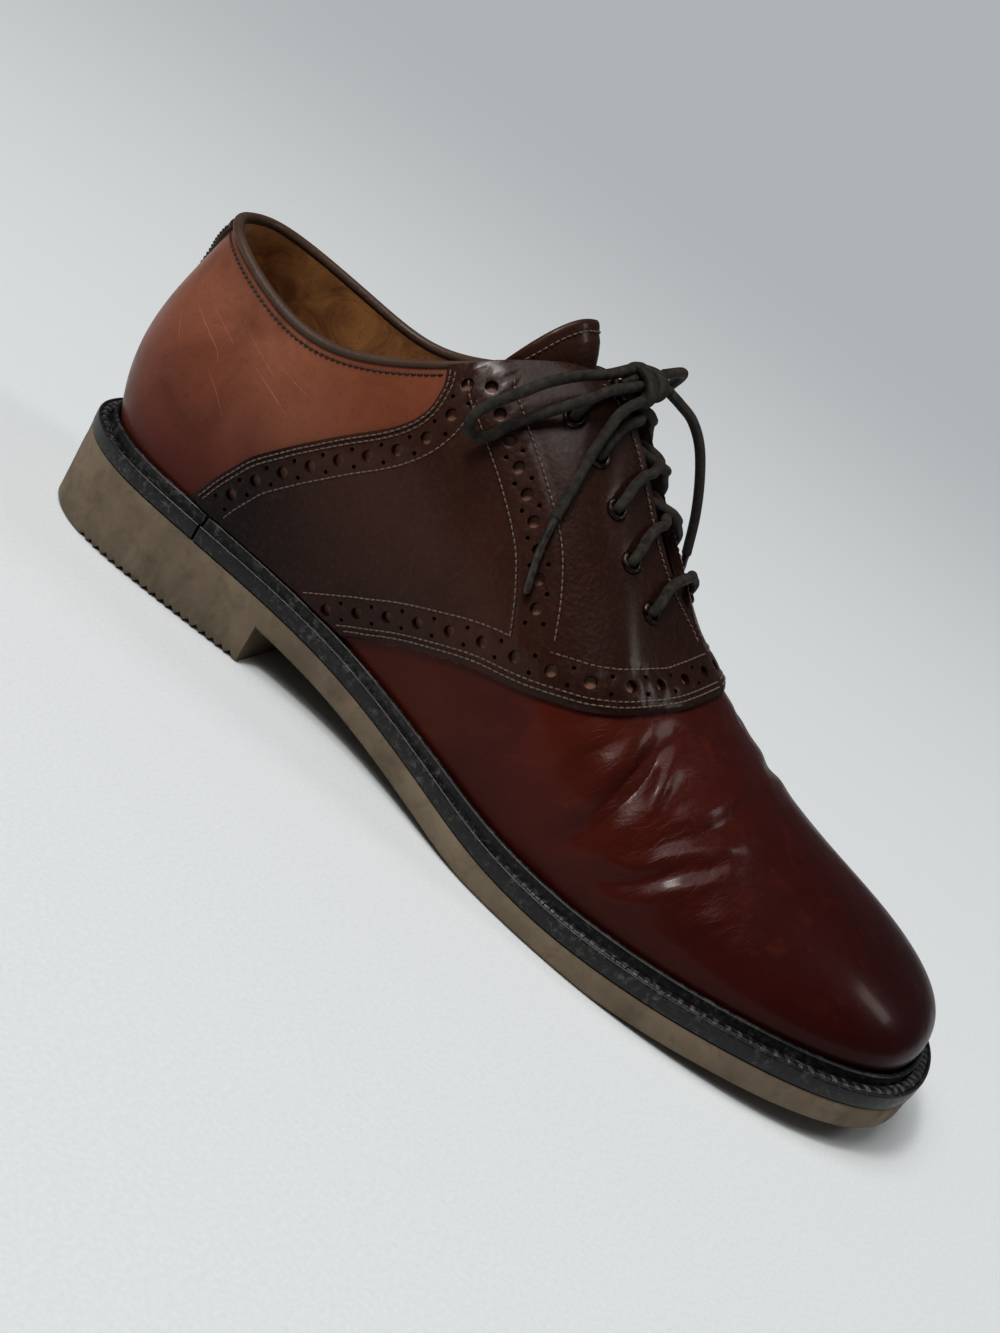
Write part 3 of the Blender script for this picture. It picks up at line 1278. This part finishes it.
def saddle_height(points, lines, holes):
    """How high the saddle's top lies over the upper: rolled edges, a raised band, sunk stitches and rims."""

    def away(name, every):
        return nearest(points, surface(*lines[name])[::every])[0]

    height = np.full(len(points), SADDLE_TOP)
    height += BAND_RAISE * (1 - smoothstep(BAND_HALF_WIDTH - BAND_SLOPE, BAND_HALF_WIDTH, away("band", 3)))
    for name in ("rear_edge", "front_edge"):
        height -= EDGE_ROLL * (1 - smoothstep(0.0, EDGE_ROLL_WIDTH, away(name, 2)))
    for name in lines:
        if "stitch" in name:
            height -= STITCH_SINK * np.exp(-((away(name, 3) / STITCH_SINK_WIDTH) ** 2))
    for name in ("rear_holes", "front_holes"):
        height += HOLE_ROW_RAISE * np.exp(-((away(name, 3) / HOLE_ROW_WIDTH) ** 2))
    for place, radius, _, _ in holes:
        rim = np.linalg.norm(points - place, axis=1) - radius
        height -= HOLE_RIM_SINK * np.exp(-((rim / HOLE_RIM_WIDTH) ** 2)) * (rim < HOLE_RIM_REACH)
    return height


def build_saddle(finish, stitching):
    """The dark overlay with its punched bands and stitching, one piece across the vamp."""
    outer, inner, faces = [], [], []
    seen = {}
    seams = Gather()
    for side in SIDES:
        lines = saddle_lines(side)
        holes = saddle_holes(side, lines)
        turns, climbs, triangles = saddle_sheet(side, lines, holes)
        base = surface(turns, climbs)
        normal = normal_at(turns, climbs)
        sunk = spine_rounding(turns, climbs)
        top = base + (saddle_height(base, lines, holes) + sunk)[:, None] * normal
        under = base + (SADDLE_UNDER + sunk)[:, None] * normal
        number = []
        for i in range(len(base)):
            key = tuple(np.round(base[i], 2)) if climbs[i] == 1.0 and closed_over(turns[i]) else (side, i)
            if key not in seen:
                seen[key] = len(outer)
                outer.append(top[i])
                inner.append(under[i])
            number.append(seen[key])
        faces += [[number[i] for i in triangle] for triangle in triangles]
        for name, line in lines.items():
            if "stitch" in name:
                sew(seams, *line, SADDLE_TOP - STITCH_DEEP + (BAND_RAISE if "band" in name else 0.0))
    outer = np.array(outer)
    points, faces = thicken(outer, inner, oriented(outer, faces))
    shades = np.tile(painted(outer, SADDLE_TONES), (2, 1))
    add_piece("saddle_leather", points, faces, finish, ("saddle",), "saddle_leather", colours=shades)
    seams.piece("saddle_stitching", stitching, slot="saddle_leather")


def oriented(points, faces):
    """The same triangles, each facing out of the shoe."""
    corners = points[np.array(faces)]
    normal = np.cross(corners[:, 1] - corners[:, 0], corners[:, 2] - corners[:, 0])
    out = (corners.mean(axis=1) - np.array([0.0, 0.0, INSIDE_HEIGHT])) * (0, 1, 1)
    facing = np.sum(normal * out, axis=1) > 0
    return [face if good else face[::-1] for face, good in zip(faces, facing)]


def sew(seams, turns, climbs, height, radius=STITCH_RADIUS):
    """Adds a row of stitches on a line of the surface; each dips into the leather at both ends."""
    keep = (climbs > STITCH_CLIMBS[0]) & (climbs < STITCH_CLIMBS[1])
    turns, climbs = turns[keep], climbs[keep]
    lifted = offset_surface(turns, climbs, height + spine_rounding(turns, climbs))
    sew_points(seams, lifted, normal_at(turns, climbs), radius)


def sew_points(seams, points, normals, radius=STITCH_RADIUS):
    """Adds a row of stitches along points of a surface with its normals there."""
    lengths = run_length(points)
    shares, lift, thick = np.array(STITCH_SHAPE).T
    for middle in np.arange(STITCH_PITCH, lengths[-1] - STITCH_PITCH / 2, STITCH_PITCH):
        places = middle + STITCH_LENGTH / 2 * shares
        route, normal = (rows_at(places, lengths, rows) for rows in (points, normals))
        seams.add(*tube(route + normal * (radius * lift)[:, None], radius * thick, STITCH_SIDES))


def build_heel_tab(finish, seams):
    """The patch at the top of the heel, tapering down to a narrow back strip, sewn along its edges."""
    table = np.array(TAB_ROWS)
    climbs = np.linspace(table[0, 0], table[-1, 0], 60)
    smooth = smooth_route(table * (CLIMB_WEIGHT, 1), TABLE_STEP)
    half = np.interp(climbs, smooth[:, 0] / CLIMB_WEIGHT, smooth[:, 1])
    shares = np.linspace(-1, 1, 25)
    turns = half[:, None] * shares
    top = offset_surface(turns, climbs[:, None], TAB_TOP - TAB_EDGE_DROP * np.abs(shares) ** 10)
    under = offset_surface(turns, climbs[:, None], TAB_UNDER)
    points, faces = thicken(top, under, grid_faces(*turns.shape, over=True))
    add_piece("heel_tab_leather", points, faces, finish, ("heel_tab",), "saddle_leather")
    sewn = climbs > TAB_SEWN_CLIMB
    for sign in (-1, 1):
        sew(seams, sign * (half[sewn] - TAB_STITCH_TURN), climbs[sewn], TAB_TOP - TAB_STITCH_DEEP)


def build_binding(finish, seams):
    """The rolled binding on the collar, and the dark row of stitches under it."""
    turns = np.linspace(-CORNER_TURN, CORNER_TURN, 260)
    edge = surface(turns, 1.0)
    rise = unit(edge - surface(turns, BELOW_COLLAR_CLIMB))
    out = normal_at(turns, 1.0)
    middle = edge + rise * BINDING_LIFT - out * BINDING_INWARD
    angles = round_angles(BINDING_SIDES)
    width = BINDING_HALF_WIDTH * np.cos(angles)
    height = BINDING_HALF_HEIGHT * np.sin(angles) - BINDING_SAG * np.cos(angles) ** 2
    rings = middle[:, None] + width[:, None] * out[:, None] + height[:, None] * rise[:, None]
    points, faces = swept(np.concatenate([rings, rings[:, :1]], 1))
    add_piece("topline_binding_roll", points, faces, finish, ("topline_binding",), "saddle_leather")
    row = np.linspace(TAB_ROWS[-1][1], float(turn_at_foot(COLLAR_STITCH_END_X)), 140)
    for side in SIDES:
        line = inset(on_side(row, side), EDGE_CLIMB + 0 * row, COLLAR_STITCH, UNDER_COLLAR)
        sew(seams, *line, COLLAR_STITCH_OVER, COLLAR_STITCH_RADIUS)


def tongue_grid():
    """Points of the tongue's middle sheet, from its front under the saddle to its top, over its width."""
    spread = np.linspace(-1, 1, 33)
    inside = np.abs(spread) < TONGUE_FLAT
    climbs = 1 - TONGUE_SIDE_CLIMB * np.clip((np.abs(spread) - TONGUE_FLAT) / (1 - TONGUE_FLAT), 0, 1)
    across = (spread[inside] + TONGUE_FLAT) / (2 * TONGUE_FLAT)
    outer_count = np.sum(spread <= -TONGUE_FLAT)
    rows = []
    for turn in np.linspace(float(turn_at_crest(TONGUE_FRONT_X)), CORNER_TURN, 40):
        sides = np.where(spread < 0, turn, 2 - turn)
        points = offset_surface(sides, climbs, -WALL - TONGUE_CLEAR - TONGUE_THICK / 2)
        first, last = points[~inside][[outer_count - 1, outer_count]]
        points[inside] = first + across[:, None] * (last - first)
        rows.append(points)
    for x, z, half, back, drop in TONGUE_TOP_ROWS:
        row = np.stack([x - back * spread**2, half * spread, z - drop * np.abs(spread) ** TONGUE_ARCH], 1)
        rows.append(row - np.array(TONGUE_FACING) * TONGUE_THICK / 2)
    rows = np.array(rows)
    top = []
    for line in rows[-TONGUE_SMOOTHED:].swapaxes(0, 1):
        route = smooth_route(line, 0.25)
        lengths = run_length(route)
        top.append(rows_at(np.linspace(0, lengths[-1], 40), lengths, route))
    return np.concatenate([rows[:-TONGUE_SMOOTHED], np.stack(top, 1)]), spread


def build_tongue(finish, seams):
    """The padded tongue, with a row of stitches inside its edge."""
    sheet, spread = tongue_grid()
    normal = unit(np.cross(np.gradient(sheet, axis=1), np.gradient(sheet, axis=0)))
    normal *= np.sign(np.sum(normal * np.array([0.7, 0, 0.7]), axis=-1, keepdims=True))
    from_top = np.stack([run_length(sheet[::-1, j])[::-1] for j in range(len(spread))], 1)
    edge = np.minimum((1 - np.abs(spread)) * 2 * TONGUE_EDGE, np.minimum(from_top, TONGUE_EDGE))
    rounded = np.sqrt(np.clip(1 - (1 - np.clip(edge / TONGUE_EDGE_ROUND, 0, 1)) ** 2, 0, 1))
    thick = TONGUE_THICK / 2 * (TONGUE_EDGE_THIN + (1 - TONGUE_EDGE_THIN) * rounded)
    padded = smoothstep(TONGUE_PUFF_EDGE, TONGUE_EDGE, edge) * smoothstep(*TONGUE_PUFF_REACH, from_top)
    half = normal * (thick + TONGUE_PUFF * padded)[..., None]
    points, faces = thicken(sheet + half, sheet - half, grid_faces(*sheet.shape[:2], over=True))
    add_piece("tongue_leather", points, faces, finish, ("tongue",), "saddle_leather")
    grid = sheet + normal * thick[..., None]
    line, out = [], []
    for j in range(1, len(spread) - 1):
        line.append(rows_at(TONGUE_STITCH, from_top[::-1, j], grid[::-1, j]))
        out.append(normal[np.argmin(np.abs(from_top[:, j] - TONGUE_STITCH)), j])
    seam = resample(line, 0.5)
    sew_points(seams, seam, rows_at(run_length(seam), run_length(line), out))


def build_sock(finish):
    """The sock lining that the foot stands on, cupped a little at its edges."""
    turns = SIDE_TURNS[::2]
    spread = np.linspace(-1, 1, 25)
    first, last = (foot(loop) - outward(loop) * INSOLE_INSET for loop in (turns, 2 - turns))
    top = first[:, None] + (last - first)[:, None] * ((spread + 1) / 2)[:, None]
    under = top.copy()
    low = seat_height(top[..., 0])
    top[..., 2] = low + INSOLE_THICK - SOCK_SUNK + SOCK_CUP * np.abs(spread) ** 4
    under[..., 2] = low + SOCK_UNDER
    points, faces = thicken(top, under, grid_faces(*low.shape))
    add_piece("sock_lining", points, faces, finish, ("insole",), "insole_leather")


def build_scratches(finish):
    """Thin pale scratches in the polish, as slivers just over the leather."""
    marks = Gather()
    for width, line in SCRATCHES:
        x, climb = np.array(line).T
        turns, climbs = (smooth_route(np.stack([turn_at_foot(x), climb], 1) * PLANE, EDGE_STEP) / PLANE).T
        relief, _ = crease_relief(turns, climbs)
        points = offset_surface(turns, climbs, relief + SCRATCH_OVER)
        normal = normal_at(turns, climbs)
        across = unit(np.cross(normal, np.gradient(points, axis=0)))
        taper = width / 2 * np.sin(math.pi * np.linspace(0.04, 0.96, len(points)))[:, None]
        sides = np.stack([points - across * taper, points + across * taper], 1)
        marks.add(*thicken(sides, sides - normal[:, None] * SCRATCH_DEEP, grid_faces(len(points), 2)))
    marks.piece("polish_scratches", finish, slot="upper_leather")


# Sole.


def welt_profile(turn):
    """The welt cut across, as (side, height) pairs: underside, edge, wheeled top, groove and lip."""
    edge = float(reach(turn))
    lean = math.tan(math.radians(float(LAST(turn)[FLARE])))
    lip = LIP_CLEAR + lean * LIP_HEIGHT
    groove = LIP_CLEAR + LIP_WIDTH + 0.9
    low = -WELT_THICK - 0.25
    return (
        (-WELT_INWARD, low), (edge - 0.5, low), (edge - 0.12, -5.1),
        (edge, -4.6), (edge, -2.8), (edge, -1.2), (edge - 0.12, -0.62),
        (edge - 0.45, -0.36), (edge - 0.85, -0.42), (edge - 1.05, -0.85), (edge - 1.3, -0.5),
        ((groove + edge) / 2, -0.22), (groove + 0.35, -0.4), (groove, -1.0), (groove - 0.35, -0.3),
        (LIP_CLEAR + LIP_WIDTH + lean * 1.4, 1.3), (lip + LIP_WIDTH - 0.2, 2.2),
        (lip + LIP_WIDTH * 0.6, 2.62), (lip + 0.3, 2.55), (lip, 2.2), (LIP_CLEAR, -0.25),
        (-WELT_INWARD, -0.25),
    )


def build_welt(finish):
    """The welt strip, run once round the sole; its two ends meet on the outer side of the heel."""
    joint = float(turn_at_foot(WELT_JOINT_X))
    turns = np.linspace(joint + WELT_JOINT_TURN, joint + 2 - WELT_JOINT_TURN, 460)
    sections = []
    for turn in turns:
        pairs = np.array(welt_profile(turn))
        points = foot(turn) + outward(turn) * pairs[:, :1]
        points[:, 2] = seat_height(points[:, 0]) + pairs[:, 1]
        sections.append(np.concatenate([points, points[:1]]))
    points, faces = swept(np.array(sections), over=True)
    corners = len(sections[0])
    across = [WHEELED_MARK if i in WHEELED_CORNERS else 0.0 for i in range(corners)]
    uv = np.stack([np.tile(across, len(turns)), np.repeat(run_length(foot(turns)), corners)], 1)
    add_piece("welt_strip", points, faces, finish, ("welt",), "welt_strip", uv=uv)


def sole_sections(turns, teeth=None):
    """The sole cut across at turns of its outer side, as closed rings; a heel goes down to its teeth."""
    sides = []
    for loop in (turns, 2 - turns):
        out = outward(loop)
        edge = foot(loop) + out * (reach(loop) - SOLE_INWARD)[:, None]
        top = seat_height(edge[:, 0]) - SOLE_BELOW_WELT - WELT_THICK
        under = np.maximum(top - SOLE_THICK, 0)
        bottom = under if teeth is None else teeth
        levels = []
        # Levels from the top down: how far in from the edge, and how high.
        for inward, z in ((3.0, top), (0.35, top), (0.0, top - 0.5), (0.1, (top + under) / 2),
                          (0.0, under + 1.5), (0.1, (under + bottom) / 2 + 0.9), (0.15, bottom + 1.1),
                          (0.6, bottom + 0.3), (1.5, bottom)):
            level = edge - out * inward
            level[:, 2] = z
            levels.append(level)
        sides.append(levels)
    first, last = sides
    across = [first[-1] + (last[-1] - first[-1]) * share for share in (0.25, 0.5, 0.75)]
    return np.stack([*first, *across, *last[::-1], first[0]], 1)


def build_outsole(finish):
    """Rubber sole and heel in one: soft edges, a toothed tread under the heel, and a plain heel breast."""
    breast = float(turn_at_foot(HEEL_BREAST_X))
    heel_turns = np.linspace(0, breast, 64)
    heel_x = foot(heel_turns)[:, 0]
    toothed = (heel_x > HEEL_TEETH_X[0]) & (heel_x < HEEL_TEETH_X[1])
    teeth = np.where(toothed & (np.arange(len(heel_turns)) % 2 == 1), TOOTH, 0.0)
    ahead_turns = 1 - (1 - breast) * np.linspace(1, 0, 110) ** SOLE_EASE
    sole = Gather()
    sole.add(*swept(sole_sections(heel_turns, teeth), over=True, caps_over=True))
    sole.add(*swept(sole_sections(ahead_turns), over=True))
    sole.piece("outsole_rubber", finish, replaces=("outsole",), slot="sole_rubber")


# Laces and metal.


def build_eyelets(finish):
    profile = [
        (EYELET_BORE, -1.4), (EYELET_BORE + 0.35, -1.4), (EYELET_BORE + 0.4, SADDLE_TOP + 0.1),
        (EYELET_RADIUS - 0.1, SADDLE_TOP + 0.05), (EYELET_RADIUS, SADDLE_TOP + 0.3),
        (EYELET_RADIUS - 0.25, SADDLE_TOP + 0.7), (EYELET_RADIUS - 0.65, SADDLE_TOP + 0.92),
        (EYELET_BORE + 0.35, SADDLE_TOP + 0.82), (EYELET_BORE + 0.05, SADDLE_TOP + 0.4),
    ]
    for name, turn, climb in eyelet_places():
        points, faces = turned(*frame_at(turn, climb), profile, 28)
        add_piece(f"eyelet_ring_{name}", points, faces, finish, (f"eyelet_{name}",), "eyelet_metal")


def throat_middle(x, height):
    """A place over the middle of the throat, at a height over its edges."""
    turn = float(turn_at_crest(x))
    both = (surface(turn, 1.0) + surface(2 - turn, 1.0)) / 2
    return both + height * unit(normal_at(turn, 1.0) + normal_at(2 - turn, 1.0))


def strand(side, row, ahead):
    """From inside an eyelet, out of its bore and over the facing to the throat's edge, some rows ahead."""
    x = EYELET_XS[row - 1]
    low = float(turn_at_crest(x))
    high = float(turn_at_crest(x + EYELET_STEP * ahead * 0.5))
    points = []
    for share, height in STRAND_ROUTE:
        turn = low + (high - low) * share
        climb = climb_below_crest(turn, EYELET_INSET * (1 - max(share, 0)))
        points.append(offset_surface(on_side(turn, side), climb - 0.15 * min(share, 0), height))
    return points


def lace_routes(row, x):
    """Points of a row's strands: the bar at the bottom, two that cross, or two that run into the knot."""
    if row == 1:
        middle = throat_middle(x, LACE_OVER - BAR_SUNK)
        return [strand("lateral", row, 0) + [middle] + strand("medial", row, 0)[::-1]]
    routes = []
    far = float(turn_at_crest(x + EYELET_STEP * CROSSING_FAR))
    for side, other, sign, over in zip(SIDES, SIDES[::-1], (-1, 1), (row % 2, 1 - row % 2)):
        if row == EYELET_ROWS:
            into_knot = [knot_middle() + np.array(place) * (1, sign, 1) for place in INTO_KNOT]
            routes.append(strand(side, row, TOP_AHEAD) + into_knot)
            continue
        height = LACE_OVER - CROSSING_SUNK + CROSSING_RISE * over
        middle = throat_middle(x + EYELET_STEP * CROSSING_MIDDLE, height)
        tucked = [offset_surface(on_side(far, other), climb, low) for climb, low in CROSSING_TUCK]
        routes.append(strand(side, row, CROSSING_AHEAD) + [middle] + tucked)
    return routes


def build_lacing(finish):
    """The bar at the bottom, the crossings, and the two top strands that run into the knot."""
    for row, x in enumerate(EYELET_XS, 1):
        lace = Gather()
        for points in lace_routes(row, x):
            lace.add(*tube(smooth_route(points, LACE_STEP), LACE_RADIUS))
        lace.piece(f"lacing_{row}", finish, replaces=(f"lace_row_{row}",), slot="lace")


def knot_middle():
    return throat_middle(KNOT_X, KNOT_LIFT) + np.array([0, 0, KNOT_HALF_HEIGHT])


def build_knot(finish):
    """The knot: a coil over a core, a tuck, a ring round the outer cords, and the strands inside it."""
    middle = knot_middle()
    loop = np.array(LOOP_LATERAL)
    knot = Gather()

    ahead, along, high = COIL_HALF_SIZE
    angles = np.radians(np.linspace(*COIL_DEGREES, 120))
    bulge = 1 - COIL_BULGE * np.linspace(-1, 1, 120) ** 2
    run = np.linspace(-along, along, 120)
    coil = np.stack([ahead * bulge * np.cos(angles), run, high * bulge * np.sin(angles)], 1)
    knot.add(*tube(middle + coil, LACE_RADIUS))

    run = np.linspace(-CORE_HALF_LENGTH, CORE_HALF_LENGTH, 12)
    core = np.stack([0 * run, run, 0 * run], 1)
    knot.add(*tube(middle + core, CORE_RADIUS * np.sqrt(1.04 - (run / 4.6) ** 2)))

    angles = np.radians(np.linspace(*TUCK_DEGREES, 36))
    ahead, high = TUCK_RADIUS * np.cos(angles) + 0.6, TUCK_RADIUS * np.sin(angles) - 0.4
    knot.add(*tube(middle + np.stack([ahead, TUCK_REACH * np.sin(angles + 0.5), high], 1), LACE_RADIUS))

    angles = np.radians(np.linspace(*RING_DEGREES, 110))[:, None]
    held = np.mean([loop[0], loop[-1], END_LATERAL[0]], axis=0) + (0.0, 1.2, 0.0)
    ring = RING_RADII[0] * np.cos(angles) * RING_WAYS[0] + RING_RADII[1] * np.sin(angles) * RING_WAYS[1]
    knot.add(*tube(held + ring + np.linspace(*RING_RUN, 110)[:, None] * (0.0, 1.0, 0.0), LACE_RADIUS))

    share = np.linspace(0, 1, 10)[:, None]
    root = (loop[0] + loop[-1]) / 2 + (0.0, 1.0, -0.4)
    way = (loop[1] + loop[-2]) / 2 + (0.0, 0.0, -1.2) - root
    wedge = root + share * way * WEDGE_LENGTH / np.linalg.norm(way)
    knot.add(*tube(wedge, WEDGE_RADIUS - WEDGE_TAPER * share[:, 0]))

    for first, second, lift in (
        (LOOP_LATERAL[0], LOOP_MEDIAL[-1], -0.8),
        (LOOP_LATERAL[-1], END_LATERAL[0], 0.5),
        (LOOP_MEDIAL[0], END_MEDIAL[0], 0.3),
    ):
        bend = middle + 0.25 * (np.add(first, second) - 2 * middle) + (0, 0, lift)
        knot.add(*tube(smooth_route([first, bend, second], LACE_STEP), LACE_RADIUS))
    return knot.piece("lace_knot_wrap", finish, replaces=("lace_knot",), slot="lace")


def aglet_radii(along):
    """Radius of a sleeve along it: flared where the lace enters, crimped near there, narrow at its tip."""
    flare = 0.2 * np.exp(-((along / 1.5) ** 2))
    tip = 0.25 * smoothstep(along[-1] - 1.0, along[-1], along)
    crimp = 0.05 * np.exp(-(((along - 4.0) / 0.5) ** 2)) - 0.08 * np.exp(-(((along - 6.0) / 0.6) ** 2))
    return AGLET_RADIUS + flare - tip + crimp


def build_bow(lace, sleeve):
    """Two loops and two ends as free cords; each end runs into its sleeve."""
    for side, loop, end, aglet in (
        ("lateral", LOOP_LATERAL, END_LATERAL, AGLET_LATERAL),
        ("medial", LOOP_MEDIAL, END_MEDIAL, AGLET_MEDIAL),
    ):
        route = smooth_route(loop, CORD_STEP)
        free_cord(f"bow_loop_{side}", route, lace, f"lace_loop_{side}")
        route = smooth_route(aglet, LACE_STEP)
        points, faces, uv = tube(route, aglet_radii(run_length(route)), 16)
        tip = add_piece(f"aglet_sleeve_{side}", points, faces, sleeve, (f"aglet_{side}",), "aglet", uv=uv)
        route = smooth_route([*end, aglet[0]], CORD_STEP)
        free_cord(f"bow_end_{side}", route, lace, f"lace_end_{side}")


def free_cord(name, route, finish, node):
    """A length of lace from the knot to its far end, as a piece and as a cord."""
    points, faces, uv = tube(route, LACE_RADIUS, 14)
    cord = add_piece(name, points, faces, finish, (node,), "lace", uv=uv)


# Stage.


def build_stage():
    """A wide pale floor; far off it meets a background of its own colour, without a horizon."""
    rings = np.geomspace(FLOOR_HUB, FLOOR_RADIUS, FLOOR_RINGS)
    points = [(r * math.cos(a), r * math.sin(a), 0.0) for a in round_angles(FLOOR_SIDES) for r in rings]
    hub = [i * FLOOR_RINGS for i in range(FLOOR_SIDES)]
    mesh = bpy.data.meshes.new("studio_floor")
    mesh.from_pydata(points, [], grid_faces(FLOOR_SIDES, FLOOR_RINGS, wrap=True, over=True) + [hub])
    mesh.materials.append(studio_floor(*FLOOR_TONES))
    floor = bpy.data.objects.new("studio_floor", mesh)
    bpy.context.scene.collection.objects.link(floor)


def add_light(name, lamp, way):
    """Hangs a lamp in the scene, turned to shine along a way."""
    made = bpy.data.objects.new(name, lamp)
    bpy.context.scene.collection.objects.link(made)
    made.rotation_euler = Vector(way).to_track_quat("-Z", "Y").to_euler()
    return made


def far_floor_shade():
    """How the floor shows far from the shoe, where only the ceiling and the air light it."""
    floor = np.mean([linear(*tone) for tone in FLOOR_TONES], axis=0)
    down = -CEILING_WAY[2] / np.linalg.norm(CEILING_WAY)
    return tuple(floor * (CEILING_LIGHT * down / math.pi + AIR_LIGHT * np.array(AIR_COLOUR)))


def build_lights():
    """A broad light from above, lamps that draw the highlights, and dim air that shows as the far floor."""
    scene = bpy.context.scene
    scene.view_settings.view_transform = "Standard"
    scene.view_settings.look = "Medium High Contrast"
    world = bpy.data.worlds.new("studio_air")
    world.use_nodes = True
    nodes, links = world.node_tree.nodes, world.node_tree.links
    dim = nodes["Background"]
    dim.inputs["Color"].default_value = (*AIR_COLOUR, 1.0)
    dim.inputs["Strength"].default_value = AIR_LIGHT
    shown = nodes.new("ShaderNodeBackground")
    shown.inputs["Color"].default_value = (*far_floor_shade(), 1.0)
    choose = nodes.new("ShaderNodeMixShader")
    links.new(nodes.new("ShaderNodeLightPath").outputs["Is Camera Ray"], choose.inputs["Fac"])
    links.new(dim.outputs["Background"], choose.inputs[1])
    links.new(shown.outputs["Background"], choose.inputs[2])
    links.new(choose.outputs["Shader"], nodes["World Output"].inputs["Surface"])
    scene.world = world
    ceiling = bpy.data.lights.new("ceiling", "SUN")
    ceiling.energy = CEILING_LIGHT
    ceiling.angle = math.radians(CEILING_ANGLE)
    add_light("ceiling", ceiling, CEILING_WAY)
    for name, place, size, power, colour in LAMPS:
        lamp = bpy.data.lights.new(name, "AREA")
        lamp.shape = "RECTANGLE"
        lamp.size, lamp.size_y = size
        lamp.energy = power
        lamp.color = colour
        add_light(name, lamp, Vector(LAMP_AIM) - Vector(place)).location = place


def build_camera():
    lens = bpy.data.cameras.new("photo_camera")
    lens.sensor_fit = "VERTICAL"
    lens.sensor_height = SENSOR_HEIGHT
    lens.sensor_width = SENSOR_HEIGHT
    lens.lens = CAMERA_LENS
    lens.clip_start = CAMERA_NEAR
    camera = bpy.data.objects.new("photo_camera", lens)
    bpy.context.scene.collection.objects.link(camera)
    look = Vector(CAMERA_AIM) - Vector(CAMERA_PLACE)
    turn = look.to_track_quat("-Z", "Y").to_matrix() @ Matrix.Rotation(math.radians(CAMERA_ROLL), 3, "Z")
    camera.matrix_world = Matrix.Translation(CAMERA_PLACE) @ turn.to_4x4()
    bpy.context.scene.camera = camera


def build_shoe():
    lace = waxed_cord()
    tan_thread = thread("tan_thread", *TAN_THREAD)
    knot = build_knot(lace)
    build_bow(lace, smooth_plastic("aglet_plastic", *AGLET_PLASTIC))
    build_lacing(lace)
    build_eyelets(dark_metal())
    build_upper(burnished_leather(), suede())
    build_saddle(saddle_leather(), tan_thread)
    seams = Gather()
    dark_seams = Gather()
    build_heel_tab(saddle_leather("tab_leather", TAB_LEATHER), dark_seams)
    build_binding(saddle_leather("binding_leather", BINDING_LEATHER, 0.16), dark_seams)
    build_tongue(saddle_leather("dark_leather", DARK_LEATHER), seams)
    seams.piece("tongue_stitching", tan_thread, slot="saddle_leather")
    dark_seams.piece("collar_stitching", thread("dark_thread", *DARK_THREAD), slot="saddle_leather")
    build_sock(sock_leather())
    build_scratches(thread("scratch_polish", *SCRATCH_POLISH))
    build_welt(welt_rubber())
    build_outsole(sole_rubber())


build_camera()
build_lights()
build_stage()
build_shoe()
